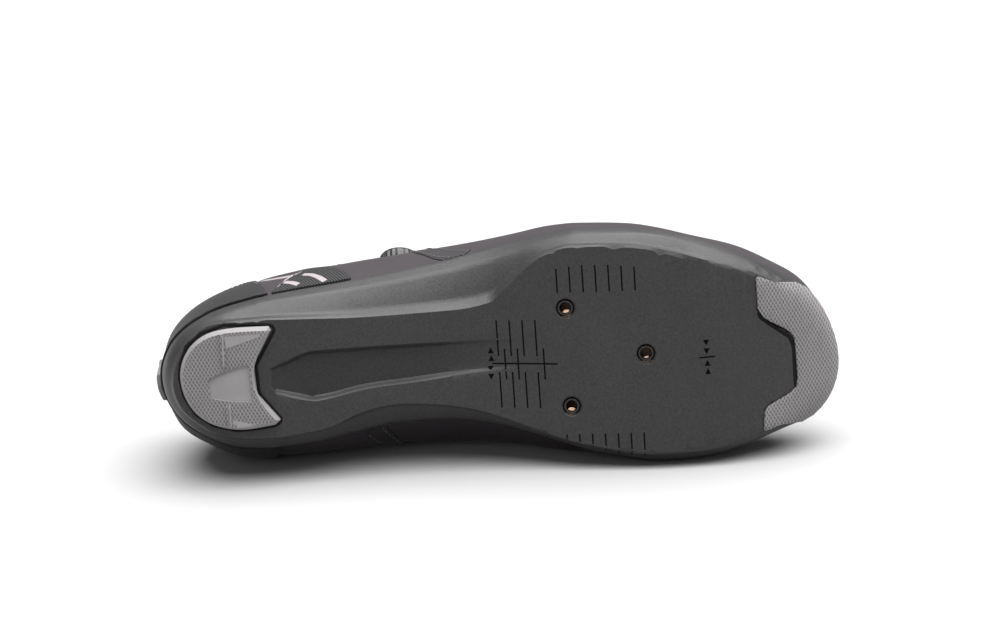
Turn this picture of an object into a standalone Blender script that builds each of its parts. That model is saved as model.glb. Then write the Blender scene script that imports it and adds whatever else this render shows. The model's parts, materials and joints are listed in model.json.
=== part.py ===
"""Right road cycling shoe, built in its own frame and laid down on its inner side.

Shoe frame, in metres: X runs from the back of the heel to the toe, Y towards the inner (medial)
side, and Z up from the ground under the heel pad. The empty named shoe turns all of it onto the floor.
"""

from math import acos, cos, pi, radians, sin, sqrt

import bmesh
import bpy
from mathutils import Matrix, Vector

# Main sizes of the last and the sole
LENGTH = 0.282
BALL_WIDTH = 0.0985
INSTEP_HEIGHT = 0.092
HEEL_HEIGHT = 0.078
THROAT_WIDTH = 0.026
LIP_HEIGHT = 0.027
ARCH_HEIGHT = 0.0085

# Walls and gaps
GAP = 0.0003
FOOT_GAP = 0.0005
WELD = 0.00002
UPPER_WALL = 0.0018
LIP_WIDTH = 0.0026
LIP_LAND = 0.0007
LIP_ROUND = 0.0012
TRAY_INSET = 0.0062
TRAY_DEPTH = 0.0036
TRAY_COLUMNS = (-1, -0.82, 0, 0.82, 1)
PLATE_THICKNESS = 0.0046
HEEL_STACK = 0.0030
INSOLE_THICKNESS = 0.003
INSOLE_CLEARANCE = 0.0010

# Resolution of the lofts: sole and upper share their stations, so that they keep their gap
STATION_COUNT = 46
STATION_SHARES = (0.144, 0.150, 0.157, 0.350, 0.600, 0.618, 0.626)
INSOLE_STATIONS = 22
LOW_LEVELS = 3
ARCH_LEVELS = 8
TOP_LEVELS = 3

# Ends of each outline, measured along X
LIP_HEEL = 0.0015
LIP_TOE = LENGTH - 0.0025
RIDGE_HEEL = 0.008
RIDGE_TOE = LENGTH - 0.012
LAST_HEEL = 0.0008
LAST_TOE = LENGTH - 0.0028

# Lip of the sole: share of its run, then lateral and medial half widths and centre as shares of
# the ball width, then height as a share of the lip height
LIP = (
    # along, lateral, medial, centre, height
    (0.000, 0.000, 0.000, 0.000, 0.78),
    (0.009, 0.105, 0.107, 0.000, 0.77),
    (0.027, 0.179, 0.183, 0.000, 0.76),
    (0.059, 0.243, 0.250, 0.000, 0.74),
    (0.103, 0.293, 0.307, 0.000, 0.745),
    (0.171, 0.326, 0.323, 0.000, 0.79),
    (0.246, 0.344, 0.307, 0.000, 0.87),
    (0.354, 0.376, 0.264, 0.000, 0.98),
    (0.426, 0.407, 0.267, 0.000, 1.00),
    (0.498, 0.448, 0.304, 0.000, 0.94),
    (0.570, 0.493, 0.371, 0.000, 0.815),
    (0.642, 0.518, 0.438, 0.000, 0.667),
    (0.714, 0.505, 0.476, 0.004, 0.556),
    (0.786, 0.464, 0.466, 0.012, 0.526),
    (0.858, 0.399, 0.404, 0.030, 0.593),
    (0.912, 0.334, 0.332, 0.053, 0.704),
    (0.948, 0.290, 0.284, 0.076, 0.815),
    (0.977, 0.211, 0.199, 0.100, 0.907),
    (0.993, 0.117, 0.110, 0.116, 0.963),
    (1.000, 0.000, 0.000, 0.122, 0.980),
)

# Ridge round the flat bottom, on its own run from heel to toe
RIDGE = (
    # along, lateral, medial, centre
    (0.000, 0.000, 0.000, 0.000),
    (0.011, 0.107, 0.102, 0.000),
    (0.034, 0.188, 0.162, 0.000),
    (0.069, 0.247, 0.223, 0.000),
    (0.149, 0.250, 0.249, 0.000),
    (0.237, 0.236, 0.226, 0.000),
    (0.290, 0.227, 0.165, 0.000),
    (0.351, 0.225, 0.149, 0.000),
    (0.427, 0.226, 0.176, 0.000),
    (0.473, 0.230, 0.207, 0.000),
    (0.508, 0.262, 0.246, 0.000),
    (0.542, 0.356, 0.284, 0.000),
    (0.573, 0.424, 0.320, 0.000),
    (0.626, 0.460, 0.369, 0.000),
    (0.679, 0.461, 0.404, 0.002),
    (0.733, 0.446, 0.421, 0.004),
    (0.805, 0.400, 0.412, 0.012),
    (0.885, 0.335, 0.351, 0.030),
    (0.943, 0.262, 0.266, 0.053),
    (0.977, 0.178, 0.173, 0.073),
    (1.000, 0.000, 0.000, 0.091),
)

# How much of the flute the side has: all of it to the ball, none round the toe
FLUTE = (
    # along, share
    (0.000, 0.60),
    (0.150, 1.00),
    (0.780, 1.00),
    (0.880, 0.00),
    (1.000, 0.00),
)

# Steps down the side from lip to ridge: shares of the way in and of the way down
WALL_STEPS = (
    # step, in and down with the flute, in and down without it
    ("upper foot", 0.20, 0.42, 0.10, 0.32),
    ("middle", 0.52, 0.60, 0.36, 0.66),
    ("lower foot", 0.86, 0.74, 0.72, 0.90),
)

# Height of the flat bottom over the length, as shares of the arch height, above the heel seat
BOTTOM = (
    # along, height
    (0.000, 0.50),
    (0.035, 0.47),
    (0.180, 0.47),
    (0.260, 0.68),
    (0.330, 0.90),
    (0.400, 1.00),
    (0.500, 0.94),
    (0.600, 0.55),
    (0.700, 0.18),
    (0.770, 0.12),
    (0.830, 0.32),
    (0.890, 0.82),
    (0.930, 1.32),
    (0.960, 1.85),
    (1.000, 2.80),
)

# Widest line of the upper: half widths and centre as shares of the ball width, then its height and
# the height of the crest as shares of the instep height, and the crest's shift to the inner side
LAST = (
    # along, lateral, medial, centre, widest, crest, shift
    (0.000, 0.000, 0.000, 0.030, 0.430, 0.990, 0.020),
    (0.010, 0.160, 0.156, 0.031, 0.430, 0.990, 0.020),
    (0.020, 0.206, 0.212, 0.033, 0.430, 0.990, 0.020),
    (0.051, 0.284, 0.276, 0.035, 0.430, 0.985, 0.020),
    (0.105, 0.350, 0.352, 0.036, 0.440, 0.975, 0.020),
    (0.177, 0.386, 0.382, 0.028, 0.450, 0.985, 0.022),
    (0.241, 0.398, 0.391, 0.018, 0.462, 1.020, 0.024),
    (0.320, 0.409, 0.392, 0.006, 0.475, 1.040, 0.028),
    (0.417, 0.429, 0.410, 0.000, 0.489, 1.000, 0.035),
    (0.511, 0.467, 0.422, 0.000, 0.435, 0.891, 0.040),
    (0.590, 0.516, 0.450, 0.000, 0.337, 0.793, 0.043),
    (0.662, 0.526, 0.463, 0.002, 0.293, 0.717, 0.045),
    (0.733, 0.497, 0.453, 0.004, 0.283, 0.652, 0.047),
    (0.795, 0.452, 0.446, 0.012, 0.277, 0.614, 0.050),
    (0.859, 0.414, 0.396, 0.030, 0.293, 0.582, 0.060),
    (0.913, 0.352, 0.330, 0.053, 0.321, 0.549, 0.075),
    (0.949, 0.308, 0.279, 0.076, 0.342, 0.516, 0.090),
    (0.978, 0.222, 0.193, 0.100, 0.359, 0.473, 0.105),
    (0.994, 0.112, 0.104, 0.116, 0.367, 0.424, 0.118),
    (1.000, 0.000, 0.000, 0.122, 0.370, 0.385, 0.122),
)

# Collar's edge: a share of the heel height and one of the instep height, added
TOPLINE = (
    # along, heel, instep
    (0.000, 1.03, 0.00),
    (0.050, 1.01, 0.00),
    (0.110, 0.93, 0.00),
    (0.175, 0.81, 0.00),
    (0.220, 0.79, 0.00),
    (0.270, 0.45, 0.36),
    (0.315, 0.00, 0.88),
    (0.350, 0.00, 1.04),
    (0.390, 0.00, 1.70),
    (1.000, 0.00, 1.70),
)

# Half width of the throat, as shares of half the throat width
THROAT = (
    # along, half
    (0.000, 0.00),
    (0.290, 0.00),
    (0.340, 1.00),
    (0.400, 1.00),
    (0.500, 0.92),
    (0.570, 0.78),
    (0.600, 0.62),
    (0.618, 0.38),
    (0.626, 0.00),
    (1.000, 0.00),
)

# How far the back of the heel leans forward, as shares of the heel's lean
BACK_LEAN = 0.007
BACK_CURVE = (
    # height over heel height, lean
    (0.20, 0.26),
    (0.38, 0.05),
    (0.55, 0.00),
    (0.75, 0.22),
    (0.90, 0.62),
    (1.05, 1.10),
)
BACK_REACH = LENGTH * 0.266

# Recess in the waist: plan half widths as shares of its width, over the length
RECESS_WIDTH = BALL_WIDTH * 0.2132
RECESS_DEPTH = 0.0016
RECESS_BEVEL = 0.0015
RECESS = (
    # along, lateral, medial, depth
    (0.165, 0.19, 0.20, 0.00),
    (0.170, 0.21, 0.22, 0.00),
    (0.176, 0.26, 0.32, 1.00),
    (0.200, 0.48, 0.53, 1.00),
    (0.300, 0.47, 0.43, 1.00),
    (0.370, 0.45, 0.31, 1.00),
    (0.430, 0.44, 0.23, 0.70),
    (0.500, 0.43, 0.18, 0.25),
    (0.540, 0.42, 0.17, 0.00),
    (1.000, 0.42, 0.17, 0.00),
)

# Bolt holes for the cleat: the rear pair as a share of the length, then their standard spacing
REAR_BOLTS = 0.5965
BOLT_RUN = 0.0312
BOLT_SPAN = 0.0404
INSERT_RADIUS = 0.0034
INSERT_BORE = 0.0021
COUNTERBORE_RADIUS = 0.0041
COUNTERBORE_DEPTH = 0.0009
INSERT_FLANGE = 0.0008
INSERT_SHORTER = 0.0012

# Heel pad: its outline, the plain recess in it and its ribs, as shares of length and ball width
HEEL_PAD_HEIGHT = 0.0037
HEEL_PAD_BEVEL = 0.0013
HEEL_PAD_SINK = 0.0010
HEEL_PAD_OUTLINE = (
    # along, across
    (0.1067, -0.2294),
    (0.0745, -0.2030),
    (0.0532, -0.1503),
    (0.0426, -0.0863),
    (0.0397, -0.0254),
    (0.0443, 0.0508),
    (0.0585, 0.1239),
    (0.0816, 0.1726),
    (0.1142, 0.1990),
    (0.1418, 0.1959),
    (0.1706, 0.1848),
    (0.1780, 0.1675),
    (0.1479, 0.0528),
    (0.1461, -0.0660),
    (0.1752, -0.2071),
    (0.1727, -0.2223),
)
HEEL_PAD_WINDOW = (
    # along, across
    (0.0798, -0.0223),
    (0.1089, -0.0589),
    (0.1401, -0.0751),
    (0.1418, 0.0792),
    (0.1071, 0.0751),
    (0.0833, 0.0548),
)
HEEL_RIB_ALONG = 0.1057
HEEL_RIB_WIDTH = 0.0016
HEEL_RIB_HEIGHT = 0.0007
HEEL_RIB_ENDS = ((-0.2081, -0.0731), (0.0893, 0.1787))

# Toe pad: how proud it stands, how thick it is, and its inner edge as shares of length and ball width
TOE_PAD_PROUD = 0.0008
TOE_PAD_THICKNESS = 0.0025
TOE_PAD_START = 0.8990
TOE_PAD_COLUMNS = 18
TOE_PAD_CORNERS = 1.5
TOE_PAD_RISE = (
    # round the toe, top edge's share of the way down the side
    (0.00, 0.900),
    (0.06, 0.740),
    (0.12, 0.260),
    (0.17, 0.075),
    (0.83, 0.075),
    (0.88, 0.260),
    (0.94, 0.740),
    (1.00, 0.900),
)
TOE_PAD_EDGE = (
    # round the toe from the inner arm, along, across
    (0.00, 0.8735, 0.2904),
    (0.08, 0.8785, 0.2700),
    (0.36, 0.9195, 0.2110),
    (0.42, 0.9250, 0.1820),
    (0.60, 0.9232, 0.0030),
    (0.66, 0.9184, -0.0260),
    (0.91, 0.8776, -0.1110),
    (1.00, 0.8710, -0.1450),
)

# Overlays on the upper, each a skin between two lasts: outlines in side view, and in rear view for
# the tab, as shares of length, ball width and heel height
SKIN_THICKNESS = 0.0008
SKIN_ABOVE_LIP = 0.0009
COUNTER_TOP = (
    # along, height
    (0.1684, 0.0000),
    (0.1560, 0.4231),
    (0.1401, 0.6026),
    (0.1206, 0.6795),
    (0.0851, 0.7436),
    (0.0355, 0.8013),
    (-0.0355, 0.8269),
)
PANEL_START = 0.1738
PANEL_END = 0.2900
PANEL_PEAK = 0.2358
PANEL_TOP = 0.5450
PANEL_STEPS = 12
TAB_WIDTH = 0.1675
TAB_THICKNESS = 0.0015
TAB_LOW = 0.2885
TAB_HIGH = 0.5962
TAB_STEPS = 14

# Closure
DIAL_ALONG = 0.3520
DIAL_LEVEL = 0.55
DIAL_RADIUS = 0.0092
DIAL_HEIGHT = 0.0060
DIAL_TEETH = 24
DIAL_TOOTH = 0.0006
BASE_RADIUS = 0.0098
BASE_HEIGHT = 0.0030
BASE_TAIL = 0.0115
GUIDE_LEVEL = 0.72
GUIDE_STATIONS = (0.445, 0.520)
GUIDE_LENGTH = 0.011
GUIDE_WIDTH = 0.006
GUIDE_HEIGHT = 0.0026
WIRE_RADIUS = 0.0006
WIRE_HEIGHT = 0.0016
WIRE_TURN = 0.198
WIRE_STEPS = 6

# Tongue
TONGUE_TOP = 0.2801
TONGUE_END = 0.6596
TONGUE_LEVEL = 0.56
TONGUE_THICKNESS = 0.0034
TONGUE_CLEARANCE = 0.0012
TONGUE_ROWS = 12
TONGUE_COLUMNS = 7

# The shoe's mass centre, as shares of length, ball width and instep height
MASS_CENTRE = (0.484, -0.007, 0.287)
LEAN_COST = 100.0

SIDES = {"lateral": -1, "medial": 1}


# Small numbers helpers


def smooth(x, xs, ys):
    """A cubic through the points (xs, ys), flat where they turn, so that it never overshoots."""
    if x <= xs[0]:
        return ys[0]
    if x >= xs[-1]:
        return ys[-1]
    i = next(k for k in range(len(xs) - 1) if x <= xs[k + 1])
    slopes = []
    for k in (i, i + 1):
        if k in (0, len(xs) - 1):
            j = min(k, len(xs) - 2)
            slopes.append((ys[j + 1] - ys[j]) / (xs[j + 1] - xs[j]))
            continue
        before = (ys[k] - ys[k - 1]) / (xs[k] - xs[k - 1])
        after = (ys[k + 1] - ys[k]) / (xs[k + 1] - xs[k])
        slopes.append(0.0 if before * after <= 0 else 2 * before * after / (before + after))
    step = xs[i + 1] - xs[i]
    t = (x - xs[i]) / step
    return (
        (2 * t**3 - 3 * t**2 + 1) * ys[i]
        + (t**3 - 2 * t**2 + t) * step * slopes[0]
        + (3 * t**2 - 2 * t**3) * ys[i + 1]
        + (t**3 - t**2) * step * slopes[1]
    )


def column(table, share, place):
    """One column of a table, read at a share of its run."""
    return smooth(share, [row[0] for row in table], [row[place] for row in table])


def angle_of(share):
    """Stations are spread by this angle, so that both ends of an outline are round."""
    return acos(max(-1.0, min(1.0, 1 - 2 * share)))


def round_column(table, theta, place):
    """One column of a table, read at a station's angle."""
    return smooth(theta, [angle_of(row[0]) for row in table], [row[place] for row in table])


def stations(count, wanted=()):
    """Angles from heel to toe, with the nearest ones moved onto the wanted shares."""
    angles = [pi * i / count for i in range(count + 1)]
    free = list(range(1, count))
    for share in wanted:
        target = angle_of(share)
        nearest = min(free, key=lambda i: abs(angles[i] - target))
        angles[nearest] = target
        free.remove(nearest)
    return sorted(angles)


# Outlines in plan


def ring_point(table, heel, toe, turn):
    """A point on an outline. turn runs 0 to pi along the medial side and on to 2 pi along the lateral."""
    turn = turn % (2 * pi)
    side = "medial" if turn <= pi else "lateral"
    theta = turn if side == "medial" else 2 * pi - turn
    x = heel + (toe - heel) * (1 - cos(theta)) / 2
    half = round_column(table, theta, 2 if side == "medial" else 1) * BALL_WIDTH
    centre = round_column(table, theta, 3) * BALL_WIDTH
    return Vector((x, centre + SIDES[side] * half))


def inset_point(table, heel, toe, turn, inset):
    """The same point, moved towards the inside of the outline."""
    step = 0.02
    ahead = ring_point(table, heel, toe, turn + step)
    behind = ring_point(table, heel, toe, turn - step)
    along = (ahead - behind).normalized()
    return ring_point(table, heel, toe, turn) + Vector((-along.y, along.x)) * -inset


def turn_of(theta, side):
    return theta if side == "medial" else 2 * pi - theta


def bottom_height(x):
    return ARCH_HEIGHT * column(BOTTOM, x / LENGTH, 1)


def lip_height(theta):
    return LIP_HEIGHT * round_column(LIP, theta, 4)


def lip_point(theta, side, inset, below):
    plan = inset_point(LIP, LIP_HEEL, LIP_TOE, turn_of(theta, side), inset)
    return Vector((plan.x, plan.y, lip_height(theta) - below))


def ridge_point(theta, side):
    plan = ring_point(RIDGE, RIDGE_HEEL, RIDGE_TOE, turn_of(theta, side))
    return Vector((plan.x, plan.y, bottom_height(plan.x)))


def sole_wall(theta, side):
    """The sole's side from under its lip to the ridge, hollowed into a flute where it is wide."""
    lip = lip_point(theta, side, 0, LIP_ROUND)
    ridge = ridge_point(theta, side)
    run = Vector((ridge.x - lip.x, ridge.y - lip.y, 0))
    drop = Vector((0, 0, ridge.z - lip.z))
    hollow = column(FLUTE, (1 - cos(theta)) / 2, 1)
    wall = [lip]
    for _, in_flute, down_flute, in_round, down_round in WALL_STEPS:
        inward = in_round + (in_flute - in_round) * hollow
        down = down_round + (down_flute - down_round) * hollow
        wall.append(lip + run * inward + drop * down)
    return wall + [ridge]


# Form of the upper


def last_point(theta, side, level):
    """A point on the last: level runs -1 to 0 from the sole to the widest line, then 0 to 1 to the crest."""
    widest = ring_point(LAST, LAST_HEEL, LAST_TOE, turn_of(theta, side))
    middle = round_column(LAST, theta, 4) * INSTEP_HEIGHT
    crest = round_column(LAST, theta, 5) * INSTEP_HEIGHT
    shift = round_column(LAST, theta, 6) * BALL_WIDTH
    if level < 0:
        foot = lip_point(theta, side, LIP_LAND, -FOOT_GAP)
        rise = 1 + level
        out = 1 - (1 - rise) ** 1.8
        point = Vector((
            foot.x + (widest.x - foot.x) * out,
            foot.y + (widest.y - foot.y) * out,
            foot.z + (middle - foot.z) * rise,
        ))
    else:
        tilt = level * pi / 2
        across = max(cos(tilt), 0.0) ** 0.92
        point = Vector((widest.x, shift + (widest.y - shift) * across, middle + (crest - middle) * sin(tilt)))
    fade = max(0.0, 1 - point.x / BACK_REACH) ** 2
    lean = column(BACK_CURVE, point.z / HEEL_HEIGHT, 1)
    point.x += BACK_LEAN * (lean - column(BACK_CURVE, BACK_CURVE[0][0], 1) * (level < -0.99)) * fade
    return point


def top_level(theta, side):
    """The level at which the collar or the throat opens the upper. It is 1 where the upper is closed."""
    share = (1 - cos(theta)) / 2
    half = THROAT_WIDTH / 2 * column(THROAT, share, 1)
    top = HEEL_HEIGHT * column(TOPLINE, share, 1) + INSTEP_HEIGHT * column(TOPLINE, share, 2)
    low, high = 0.0, 1.0
    crest_y = round_column(LAST, theta, 6) * BALL_WIDTH
    for _ in range(24):
        level = (low + high) / 2
        point = last_point(theta, side, level)
        if point.z > top or abs(point.y - crest_y) < half:
            high = level
        else:
            low = level
    return 1.0 if high > 0.9999 else low


def last_normal(theta, side, level):
    """Unit normal of the last, pointing out."""
    step = 0.01
    along = last_point(theta + step, side, level) - last_point(theta - step, side, level)
    up = last_point(theta, side, level + step) - last_point(theta, side, level - step)
    normal = along.cross(up) if side == "lateral" else up.cross(along)
    return normal.normalized()


def last_angle(x):
    return angle_of((x - LAST_HEEL) / (LAST_TOE - LAST_HEEL))


# Objects and materials


def material(name, colour, roughness, metallic=0.0):
    made = bpy.data.materials.new(name)
    made.use_nodes = True
    shader = made.node_tree.nodes["Principled BSDF"]
    shader.inputs["Base Color"].default_value = (*colour, 1)
    shader.inputs["Roughness"].default_value = roughness
    shader.inputs["Metallic"].default_value = metallic
    made.diffuse_color = (*colour, 1)
    return made


def add_object(name, mesh, finish, collection, parent):
    made = bpy.data.objects.new(name, mesh)
    collection.objects.link(made)
    mesh.materials.append(finish)
    made.parent = parent
    return made


def grid_mesh(name, rows, closed=False):
    """A surface through rows of points, with doubles welded where rows meet."""
    shape = bmesh.new()
    made = [[shape.verts.new(point) for point in row] for row in rows]
    last = len(made) if closed else len(made) - 1
    for i in range(last):
        here, there = made[i], made[(i + 1) % len(made)]
        for j in range(len(here) - 1):
            shape.faces.new((here[j], here[j + 1], there[j + 1], there[j]))
    bmesh.ops.remove_doubles(shape, verts=shape.verts, dist=WELD)
    mesh = bpy.data.meshes.new(name)
    shape.to_mesh(mesh)
    shape.free()
    return mesh


def turn_outward(mesh, centre):
    """Makes the open surface's normals point away from a point inside it."""
    shape = bmesh.new()
    shape.from_mesh(mesh)
    bmesh.ops.recalc_face_normals(shape, faces=shape.faces)
    score = sum((face.calc_center_median() - centre).dot(face.normal) * face.calc_area() for face in shape.faces)
    if score < 0:
        bmesh.ops.reverse_faces(shape, faces=shape.faces)
    shape.to_mesh(mesh)
    shape.free()


def lift(mesh, distance):
    """Moves every point out along its normal."""
    shape = bmesh.new()
    shape.from_mesh(mesh)
    shape.normal_update()
    moves = [vert.normal * distance for vert in shape.verts]
    for vert, move in zip(shape.verts, moves):
        vert.co += move
    shape.to_mesh(mesh)
    shape.free()


def thicken(made, thickness, outward):
    wall = made.modifiers.new("wall", "SOLIDIFY")
    wall.thickness = thickness
    wall.offset = 1 if outward else -1
    wall.use_even_offset = True
    wall.use_quality_normals = True
    return wall


def cut(made, cutter, operation="DIFFERENCE"):
    bite = made.modifiers.new(cutter.name, "BOOLEAN")
    bite.operation = operation
    bite.solver = "EXACT"
    bite.object = cutter


def prism(name, outline, low, high):
    """A flat outline extruded from one height to another."""
    shape = bmesh.new()
    base = shape.faces.new([shape.verts.new((x, y, low)) for x, y in outline])
    raised = bmesh.ops.extrude_face_region(shape, geom=[base])["geom"]
    lifted = [item for item in raised if isinstance(item, bmesh.types.BMVert)]
    bmesh.ops.translate(shape, vec=(0, 0, high - low), verts=lifted)
    bmesh.ops.recalc_face_normals(shape, faces=shape.faces)
    mesh = bpy.data.meshes.new(name)
    shape.to_mesh(mesh)
    shape.free()
    return mesh


def cylinder(name, radius, low, high, sides):
    shape = bmesh.new()
    bmesh.ops.create_cone(
        shape, cap_ends=True, segments=sides, radius1=radius, radius2=radius, depth=high - low
    )
    bmesh.ops.translate(shape, vec=(0, 0, (low + high) / 2), verts=shape.verts)
    mesh = bpy.data.meshes.new(name)
    shape.to_mesh(mesh)
    shape.free()
    return mesh


class Shoe:
    """Where new pieces go: the part's collection, the cutters' collection and the turned empty."""

    def __init__(self):
        self.parts = bpy.data.collections.new("cycling_shoe")
        self.cutters = bpy.data.collections.new("cutters")
        bpy.context.scene.collection.children.link(self.parts)
        bpy.context.scene.collection.children.link(self.cutters)
        self.empty = bpy.data.objects.new("shoe", None)
        self.parts.objects.link(self.empty)

    def piece(self, name, mesh, finish):
        return add_object(name, mesh, finish, self.parts, self.empty)

    def cutter(self, name, mesh):
        made = bpy.data.objects.new(name, mesh)
        self.cutters.objects.link(made)
        made.parent = self.empty
        made.hide_render = True
        made.display_type = "WIRE"
        return made


# Sole


def recess_columns(x, lateral, medial):
    """Across the bottom at one station: the y of each column and how deep the recess is there."""
    share = x / LENGTH
    out = -RECESS_WIDTH * column(RECESS, share, 1)
    inn = RECESS_WIDTH * column(RECESS, share, 2)
    depth = RECESS_DEPTH * column(RECESS, share, 3)
    out = max(out, lateral * 0.45)
    inn = min(inn, medial * 0.45)
    bevel = min(RECESS_BEVEL, (inn - out) / 4)
    middle = (out + inn) / 2
    return [
        ((lateral + out) / 2, 0.0),
        (out, 0.0),
        (out + bevel, depth),
        (middle, depth),
        (inn - bevel, depth),
        (inn, 0.0),
        ((medial + inn) / 2, 0.0),
    ]


def floor_point(theta, across):
    """The tray's floor: across runs -1 to 1 from its lateral to its medial edge."""
    lateral = lip_point(theta, "lateral", TRAY_INSET, TRAY_DEPTH)
    medial = lip_point(theta, "medial", TRAY_INSET, TRAY_DEPTH)
    place = lateral.lerp(medial, (across + 1) / 2)
    heel = smooth(place.x / LENGTH, (0.0, 0.22, 0.36, 1.0), (1.0, 1.0, 0.0, 0.0))
    middle = min(bottom_height(place.x) + PLATE_THICKNESS + HEEL_STACK * heel, place.z)
    place.z = middle + (place.z - middle) * abs(across) ** 6
    return place


def outsole_mesh():
    rows = []
    for theta in stations(STATION_COUNT, STATION_SHARES):
        row = []
        for side in ("lateral", "medial"):
            lip = [
                lip_point(theta, side, LIP_WIDTH, 0),
                lip_point(theta, side, LIP_LAND / 2, 0),
            ]
            wall = lip + sole_wall(theta, side)
            row.append(wall)
        lateral, medial = row[0][-1], row[1][-1]
        bottom = [
            Vector((lateral.x, y, bottom_height(lateral.x) + depth))
            for y, depth in recess_columns(lateral.x, lateral.y, medial.y)
        ]
        floor = [floor_point(theta, across) for across in reversed(TRAY_COLUMNS)]
        rows.append(floor + row[0] + bottom + row[1][::-1] + floor[:1])
    return grid_mesh("outsole", rows)


def close_and_face_out(mesh):
    shape = bmesh.new()
    shape.from_mesh(mesh)
    bmesh.ops.holes_fill(shape, edges=[edge for edge in shape.edges if edge.is_boundary])
    bmesh.ops.recalc_face_normals(shape, faces=shape.faces)
    shape.to_mesh(mesh)
    shape.free()


def bolt_places():
    half = BOLT_SPAN / 2
    rear = LENGTH * REAR_BOLTS
    return ((rear, -half), (rear, half), (rear + BOLT_RUN, 0.0))


def along_wall(wall, share):
    """A point a share of the way down the sole's side."""
    place = share * (len(wall) - 1)
    step = min(int(place), len(wall) - 2)
    return wall[step].lerp(wall[step + 1], place - step)


def toe_pad_mesh():
    """The pad's sheet: columns from its top edge on the side, round the ridge, to its inner edge."""
    start = angle_of((LENGTH * TOE_PAD_START - LIP_HEEL) / (LIP_TOE - LIP_HEEL))
    shares = [row[0] for row in TOE_PAD_EDGE]
    rows = []
    for i in range(TOE_PAD_COLUMNS + 1):
        place = i / TOE_PAD_COLUMNS
        turn = start + (2 * pi - 2 * start) * place
        side = "medial" if turn <= pi else "lateral"
        wall = sole_wall(turn if side == "medial" else 2 * pi - turn, side)
        rise = column(TOE_PAD_RISE, place, 1)
        wall = [along_wall(wall, rise + (1 - rise) * step / 4) for step in range(5)]
        edge_x = LENGTH * smooth(place, shares, [row[1] for row in TOE_PAD_EDGE])
        edge_y = BALL_WIDTH * smooth(place, shares, [row[2] for row in TOE_PAD_EDGE])
        ridge = wall[-1]
        for step in (0.34, 0.67, 1.0):
            x = ridge.x + (edge_x - ridge.x) * step
            y = ridge.y + (edge_y - ridge.y) * step
            wall.append(Vector((x, y, bottom_height(x))))
        rows.append(wall)
    mesh = grid_mesh("toe_pad", rows)
    shape = bmesh.new()
    shape.from_mesh(mesh)
    bmesh.ops.triangulate(shape, faces=shape.faces, quad_method="SHORT_EDGE")
    shape.to_mesh(mesh)
    shape.free()
    turn_outward(mesh, Vector((LENGTH * 0.887, BALL_WIDTH * 0.08, LIP_HEIGHT * 0.74)))
    lift(mesh, TOE_PAD_PROUD)
    return mesh


def add_sole(shoe, sole_finish, pad_finish, insert_finish):
    mesh = outsole_mesh()
    close_and_face_out(mesh)
    outsole = shoe.piece("outsole", mesh, sole_finish)

    toe_pad = shoe.piece("toe_pad", toe_pad_mesh(), pad_finish)
    thicken(toe_pad, TOE_PAD_THICKNESS, False)
    seat = shoe.cutter("toe_pad_seat", toe_pad_mesh())
    thicken(seat, TOE_PAD_THICKNESS, False)
    grow = seat.modifiers.new("grow", "DISPLACE")
    grow.mid_level = 0.0
    grow.strength = GAP * TOE_PAD_CORNERS
    cut(outsole, seat)

    for number, (x, y) in enumerate(bolt_places(), 1):
        low = bottom_height(x)
        top = floor_point(last_angle(x), 0).z
        bore = shoe.cutter(f"bore_{number}", cylinder(f"bore_{number}", INSERT_RADIUS + GAP, -0.005, 0.02, 24))
        bore.location = (x, y, low)
        sink = shoe.cutter(f"sink_{number}", cylinder(f"sink_{number}", COUNTERBORE_RADIUS, -0.005, COUNTERBORE_DEPTH, 24))
        sink.location = (x, y, low)
        cut(outsole, bore)
        cut(outsole, sink)
        insert = shoe.piece(f"cleat_insert_{number}", insert_mesh(top - low - INSERT_SHORTER), insert_finish)
        insert.location = (x, y, low)
    return outsole


def insert_mesh(height):
    """A threaded sleeve, turned about its axis, with a rounded mouth."""
    low = COUNTERBORE_DEPTH + GAP
    profile = (
        (INSERT_RADIUS, height),
        (INSERT_RADIUS, low),
        (INSERT_RADIUS - INSERT_FLANGE * 0.4, low - 0.0005),
        (INSERT_BORE + INSERT_FLANGE * 0.4, low - 0.0005),
        (INSERT_BORE, low),
        (INSERT_BORE, height),
    )
    shape = bmesh.new()
    points = [shape.verts.new((x, 0, z)) for x, z in profile]
    edges = [shape.edges.new((points[i], points[(i + 1) % len(points)])) for i in range(len(points))]
    bmesh.ops.spin(shape, geom=points + edges, cent=(0, 0, 0), axis=(0, 0, 1), angle=2 * pi, steps=16, use_merge=True)
    bmesh.ops.remove_doubles(shape, verts=shape.verts, dist=1e-7)
    bmesh.ops.recalc_face_normals(shape, faces=shape.faces)
    mesh = bpy.data.meshes.new("cleat_insert")
    shape.to_mesh(mesh)
    shape.free()
    return mesh


def in_plan(outline):
    """An outline given as shares of the length and of the ball width, in metres."""
    return [(LENGTH * along, BALL_WIDTH * across) for along, across in outline]


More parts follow.
